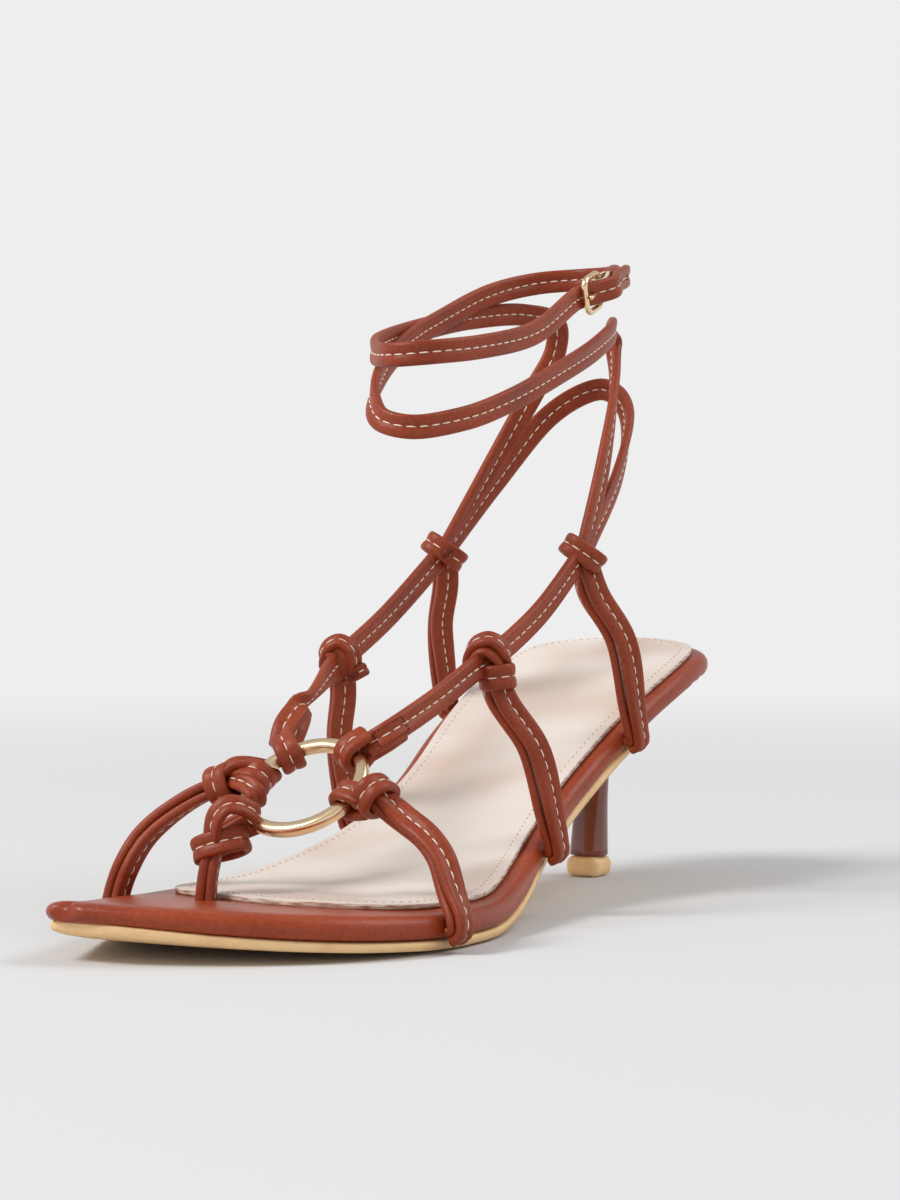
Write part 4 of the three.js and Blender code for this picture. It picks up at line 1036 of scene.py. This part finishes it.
knots = {}
for name, (side, turn, rows, feet, twist) in INSTEP.items():
    fold = on_ring(turn)[0]
    first = over_foot(*rows[0][:3])

    def tilted(out):
        return unit((side * out, -0.5 * (1 - out), 1 - out))

    route = [(over_foot(*row[:3]), tilted(row[3])) for row in rows]
    begin = fold + (first - fold) * FOLD
    if side < 0:
        folded = [(seen(first, *row), unit(LOOK_NEAR - LOOK_RIGHT * 0.4)) for row in FOLD_ROWS]
        folded.append((seen(route[1][0], *FOLD_BOW), unit(LOOK_NEAR + LOOK_RIGHT * 0.5 - LOOK_UP)))
        folded += [(place, unit(LOOK_NEAR * 0.65 - face * 0.35)) for place, face in route[2:]]
        upper.lay(folded)
        upper.lay([(seen(first, *row), unit(LOOK_NEAR + LOOK_RIGHT * 0.3)) for row in FOLD_END])
    else:
        lid = unit(tilted(0.6) + LOOK_NEAR)
        route[0] = (first, lid)
        on_top = upper.lay([(begin, unit(tilted(0.3) + LOOK_NEAR))] + route)
        box_stitch([part[:int(BOX_REACH / STEP)] for part in on_top], upper_ties)
        drop = lid * -FREE_UNDER * STRAP_THICKNESS - LOOK_UP * FREE_DROP
        end_at = first + (route[1][0] - first) * FREE_END
        upper.lay([(p + drop, lid) for p in (begin, first, end_at)], width=5.0, thickness=1.8)
    ring_turn(upper, turn, first, 0.55 * np.linalg.norm(first - fold))
    knots[name] = route[5][0]
    knots[name + "_front"] = route[3][0]
    knots[name + "_foot"] = beside_foot(feet[0], side, foot_body(feet[0]))
    for row, foot in ((3, feet[0]), (5, feet[1])):
        at = route[row][0]
        top = beside_foot(foot, side, foot_body(foot))
        for twin in (-1, 1):
            loop = foot_rows(foot, side)
            for down, out, spread, part, roll in LOOP:
                bow = side * out * STRAP_THICKNESS * LOOP_BOW[name]
                place = at + (top - at) * down + np.array([bow, 0, 0])
                if twin < 0:
                    place = place - LOOK_RIGHT * LOOP_APART[name] * down * (1 - down)
                loop.append((place, unit((side, part * twist, 0)), spread, LOOP_ROLL[name] * roll))
            upper.lay(loop, twin)

# Knots of the upper. Each front knot is a hitch: a collar round the neck of the loop, and turns
# over the instep strap; each rear knot is one turn tacked with rust thread.
OUTER_HITCH = (
    # right, up, near of each turn, from the knot's middle (mm)
    ((-4.5, 1.4, -0.8), (-3.7, 3.6, 1.2), (-2.1, 4.7, 2.3), (-0.3, 5.1, 2.9), (1.8, 4.2, 3.0),
     (3.5, 2.2, 2.6), (4.2, 0.4, 0.8), (3.0, -1.2, -2.6), (-1.4, -0.8, -3.6), (-4.0, -0.2, -2.8)),
    ((-4.0, 0.6, 0.6), (-2.7, 2.7, 2.4), (-0.9, 3.1, 3.3), (1.1, 2.0, 3.6), (2.7, 0.2, 2.8),
     (2.6, -1.6, -1.0), (-0.6, -1.4, -3.4), (-3.4, -0.9, -2.0)),
    ((-3.4, -2.4, -1.4), (-1.7, -4.1, 0.6), (0.4, -5.0, 1.6), (2.7, -4.6, 1.2), (3.6, -2.8, -0.6),
     (1.2, -1.8, -3.0), (-2.0, -1.6, -3.0)),
)
INNER_HITCH = (
    # right, up, near of each turn, from the knot's middle (mm)
    ((-4.2, 0.4, 0.2), (-3.2, 3.2, 1.6), (-0.6, 4.5, 2.4), (2.2, 2.6, 2.9), (3.0, -0.6, 2.6),
     (2.2, -3.6, 1.0), (0.0, -3.0, -2.8), (-3.0, -1.4, -2.8)),
    ((-2.6, 2.5, 1.8), (-1.0, 1.6, 3.0), (0.4, -0.6, 3.4), (0.6, -3.4, 2.6), (-0.2, -5.0, 0.4),
     (-2.2, -3.0, -2.6), (-2.8, 0.6, -2.4)),
)
LOOSE_END = ((0.6, -4.2, 1.4), (2.2, -3.6, 3.0), (3.6, -2.9, 3.0), (5.4, -2.0, 2.2))
TIE_THREAD, TIE_BOW, TIE_COUNT = 0.5, 0.3, 6
TIE_START, TIE_PITCH, TIE_SLANT = -1.1, 0.44, 0.7
for name, turns in (("outer", OUTER_HITCH), ("inner", INNER_HITCH)):
    at = knots[name + "_front"]
    for n, rows in enumerate(turns):
        winding(upper, at, rows, sewn=n != 1)
    down = knots[name + "_foot"] - at
    if name == "outer":
        collar(upper, seen(at + down * 0.12, 0.1, 1.2, 0.4), down, LOOK_RIGHT, 3.2, 3.8,
               lean=0.9, width=5.8)
    else:
        upper.lay([(seen(at, *row), LOOK_NEAR) for row in LOOSE_END], width=3.2)
    back = knots[name]
    collar(upper, back, LOOK_RIGHT * 0.57 + LOOK_UP * 0.82, LOOK_RIGHT * 0.82 - LOOK_UP * 0.57,
           4.7, 3.8, width=5.2)

for tied, near in ((knots["inner"], 5.0), (seen(knots["inner_front"], 2.4, -3.6, 0.0), 3.9)):
    for k in range(TIE_COUNT):
        slide = TIE_START + TIE_PITCH * k
        ends = (seen(tied, slide, slide * TIE_SLANT + 1.0, near),
                seen(tied, slide + 0.5, slide * TIE_SLANT - 0.9, near))
        upper_ties.put(thread_bar(ends, LOOK_NEAR, TIE_THREAD, TIE_BOW))

# Ankle strap. The inner strand turns forward at the back and crosses the front as the tail; the
# outer strand crosses lower and comes back to the fastening; a plain loop goes round the heel.
ANKLE_RISE = 94.0
ANKLE_WIDTH = 40.0
INNER_STRAND = (
    (0.270, -0.475, 0.319), (0.216, -0.438, 0.479), (0.152, -0.300, 0.702), (0.132, -0.212, 0.809),
    (0.136, -0.200, 0.878), (0.172, -0.300, 0.899), (0.256, -0.425, 0.883), (0.368, -0.438, 0.840),
    (0.484, -0.325, 0.793), (0.554, -0.100, 0.761), (0.587, 0.120, 0.755), (0.576, 0.325, 0.761),
    (0.519, 0.450, 0.777), (0.421, 0.500, 0.819),
)
OUTER_STRAND = (
    (0.288, 0.475, 0.340), (0.248, 0.450, 0.500), (0.181, 0.338, 0.713), (0.143, 0.225, 0.814),
    (0.150, 0.237, 0.856), (0.201, 0.370, 0.840), (0.279, 0.463, 0.787), (0.359, 0.500, 0.732),
    (0.470, 0.475, 0.649), (0.536, 0.400, 0.606), (0.585, 0.225, 0.585), (0.589, 0.050, 0.601),
    (0.568, -0.080, 0.640), (0.506, -0.240, 0.715), (0.412, -0.375, 0.803), (0.323, -0.412, 0.872),
    (0.230, -0.362, 0.947), (0.168, -0.225, 0.982), (0.146, 0.000, 0.991), (0.161, 0.225, 0.991),
    (0.190, 0.362, 0.991),
)
HEEL_LOOP = (
    (0.270, -0.475, 0.319), (0.203, -0.425, 0.457), (0.128, -0.275, 0.633), (0.102, -0.125, 0.691),
    (0.095, 0.000, 0.707), (0.102, 0.125, 0.691), (0.128, 0.275, 0.633), (0.203, 0.425, 0.479),
    (0.288, 0.475, 0.340),
)
ANKLE_FRONT, ANKLE_BACK = 0.50, 0.23
seat_top = topside((SEAT_OVERHANG - 0.004 * FOOT_LENGTH) * MM) / MM


def away_from_ankle(p):
    y = min(max(p[1], SEAT_OVERHANG - ANKLE_FRONT * FOOT_LENGTH), SEAT_OVERHANG - ANKLE_BACK * FOOT_LENGTH)
    return unit((p[0], p[1] - y, 0))


def round_ankle(along, across, up):
    return np.array([across * ANKLE_WIDTH, SEAT_OVERHANG - along * FOOT_LENGTH, seat_top + up * ANKLE_RISE])


def ankle_rows(rows, first=None, last=None):
    places = [round_ankle(*row) for row in rows]
    if first is not None:
        places[0] = first
    if last is not None:
        places[-1] = last
    return [(p, away_from_ankle(p)) for p in places]


# Fastening. A folded tab at the end of the outer strand holds a short woven elastic, which turns
# round the back bar of a small gold buckle; the tail is held by the prong.
BUCKLE_LENGTH, BUCKLE_WIDTH, BUCKLE_WIRE = 11.0, 9.4, 1.5
ELASTIC_THICKNESS = 1.0
PRONG_WIRE = 0.7 * BUCKLE_WIRE
TAB = ((0.194, 0.372, 0.990), (0.216, 0.422, 0.982), (0.243, 0.466, 0.969))
HINGE = (0.272, 0.495, 0.948)
FRONT_BAR = (0.314, 0.518, 0.916)
TAB_THICKNESS = 1.4 * STRAP_THICKNESS
hinge = round_ankle(*HINGE)
forward = unit(round_ankle(*FRONT_BAR) - hinge)
outward = away_from_ankle(hinge)
outward = unit(outward - forward * np.dot(outward, forward))
upward = np.cross(outward, forward)
bar = BUCKLE_WIRE / 2
front_bar = BUCKLE_LENGTH - BUCKLE_WIRE


def in_buckle(ahead, out, up=0.0):
    return hinge + forward * ahead + outward * out + upward * up


tab_rows = ankle_rows(TAB)
elastic_radius = bar + FIT_GAP + ELASTIC_THICKNESS / 2
half_strap = STRAP_THICKNESS / 2
over_tab = FIT_GAP + TAB_THICKNESS / 2 + half_strap
over_elastic = elastic_radius + ELASTIC_THICKNESS / 2 + 2 * FIT_GAP + half_strap
under_bar = -(bar + FIT_GAP + half_strap)
tail = [(in_buckle(front_bar + 0.8 * STRAP_WIDTH, under_bar), outward),
        (in_buckle(front_bar, under_bar), outward),
        (in_buckle(front_bar / 2, (under_bar + over_elastic) / 2), outward),
        (in_buckle(0, over_elastic), outward)]
tail += [(p + f * over_tab, f) for p, f in tab_rows[::-1]]

upper.lay(ankle_rows(INNER_STRAND, knots["inner"]) + tail)
upper.lay(ankle_rows(OUTER_STRAND, knots["outer"]))
upper.lay(ankle_rows(HEEL_LOOP, knots["inner"], knots["outer"]))
upper.pieces("upper_straps", "upper_stitches", "upper")
upper_ties.piece("knot_ties", rust_thread, "upper", "leather")

tab = Strapwork()
tab.lay(tab_rows, thickness=TAB_THICKNESS)
tab.pieces("tab_fold", "tab_stitches", "tab")


def tube(points, face, wire, closed=False, sides=14):
    """Round wire through points."""
    path = np.array(points, float)
    face = np.tile(np.asarray(face, float), (len(path), 1))
    path, tangent, across, face = (framed_ring if closed else framed)(path, face)
    turn = np.arange(sides) / sides * 2 * math.pi
    rings = (path[:, None] + across[:, None] * (np.cos(turn) * wire / 2)[None, :, None]
             + face[:, None] * (np.sin(turn) * wire / 2)[None, :, None])
    return grid_mesh(rings * MM, closed)


BUCKLE_CORNER = 2.3
frame_rows = []
for corner, (ahead, up) in enumerate(((1, 1), (-1, 1), (-1, -1), (1, -1))):
    for a in np.radians(np.linspace(0, 90, 9) + 90 * corner):
        frame_rows.append(in_buckle(
            front_bar / 2 + ahead * (front_bar / 2 - BUCKLE_CORNER) + BUCKLE_CORNER * math.cos(a), 0,
            up * ((BUCKLE_WIDTH - BUCKLE_WIRE) / 2 - BUCKLE_CORNER) + BUCKLE_CORNER * math.sin(a)))
buckle_heap = Heap()
buckle_heap.put(tube(frame_rows, outward, BUCKLE_WIRE, closed=True))
buckle_heap.piece("buckle_frame", gold, "buckle", "pale_gold")

eye = bar + FIT_GAP + PRONG_WIRE / 2
prong_heap = Heap()
EYE_POINTS, PRONG_BOW = 24, 0.35
prong_heap.put(tube([in_buckle(eye * math.cos(a), eye * math.sin(a))
                     for a in np.arange(EYE_POINTS) / EYE_POINTS * 2 * math.pi],
                    upward, PRONG_WIRE, closed=True))
prong_reach = front_bar + bar - eye
prong_heap.put(tube([in_buckle(eye + prong_reach * s, eye * s + PRONG_BOW * math.sin(math.pi * s))
                     for s in np.linspace(0, 1, 12)], upward, PRONG_WIRE))
prong_heap.piece("prong_pin", gold, "buckle_prong", "pale_gold")

# Elastic. A short band woven in beige with brown ribs; it comes out of the tab, turns round the
# buckle's back bar and goes back in.
ELASTIC_WIDTH = 0.9 * STRAP_WIDTH
ELASTIC_RIBS = 9
ELASTIC_FLAT = 0.45
tab_front = tab_rows[-1][0]
elastic_rows = [(tab_front + outward * ELASTIC_FLAT, outward),
                (in_buckle(-1.2 * bar, elastic_radius), outward)]
for a in np.radians((75, 50, 25, 0, -25, -50, -75)):
    way = forward * math.cos(a) + outward * math.sin(a)
    elastic_rows.append((hinge + way * elastic_radius, way))
elastic_rows += [(in_buckle(-1.2 * bar, -elastic_radius), -outward),
                 (tab_front - outward * ELASTIC_FLAT, -outward)]
path, tangent, across, face = frames_of(elastic_rows)
columns = np.linspace(1, -1, 4 * ELASTIC_RIBS + 1)
swell = ELASTIC_THICKNESS / 2 * (0.72 + 0.28 * np.abs(np.sin(columns * math.pi * ELASTIC_RIBS)))
u = np.concatenate([columns, columns[::-1]]) * ELASTIC_WIDTH / 2
v = np.concatenate([swell, -swell[::-1]])
rings = path[:, None] + across[:, None] * u[None, :, None] + face[:, None] * v[None, :, None]
elastic_heap = Heap()
elastic_heap.put(grid_mesh(rings * MM))
elastic = elastic_heap.piece("elastic_band", thread_finish("elastic_beige", linear(170, 142, 116),
                                                           linear(214, 192, 166)), "elastic", "elastic")
elastic.data.materials.append(thread_finish("elastic_brown", linear(84, 46, 30), linear(128, 76, 52)))
for polygon in elastic.data.polygons:
    column = polygon.index % len(u)
    if column // 2 % 2 and polygon.index < (len(path) - 1) * len(u):
        polygon.material_index = 1

# Holes. Small round holes punched through the tail behind the prong's, each drawn as a short dark plug of
# painted shade.
HOLE_WIRE = 1.5
HOLE_PLACES = (7.5, 15.0)
hole_shade_finish, start = new_material("hole_painted_shade")
# Painted shade: a near-black brown for the dark inside of each hole
surface(start, {"Base Color": linear(34, 14, 9), "Roughness": 0.9})
hole_heap = Heap()
path, tangent, across, face = frames_of(tail)
run = run_of(path)
for place in HOLE_PLACES:
    at, out = (on_run(run, m, 0.8 * STRAP_WIDTH + front_bar + place) for m in (path, face))
    hole_heap.put(tube([at - out * 0.3, at + out * (half_strap * 0.93)], forward, HOLE_WIRE))
hole_heap.piece("tail_hole_shade_plugs", hole_shade_finish, "upper", "leather")
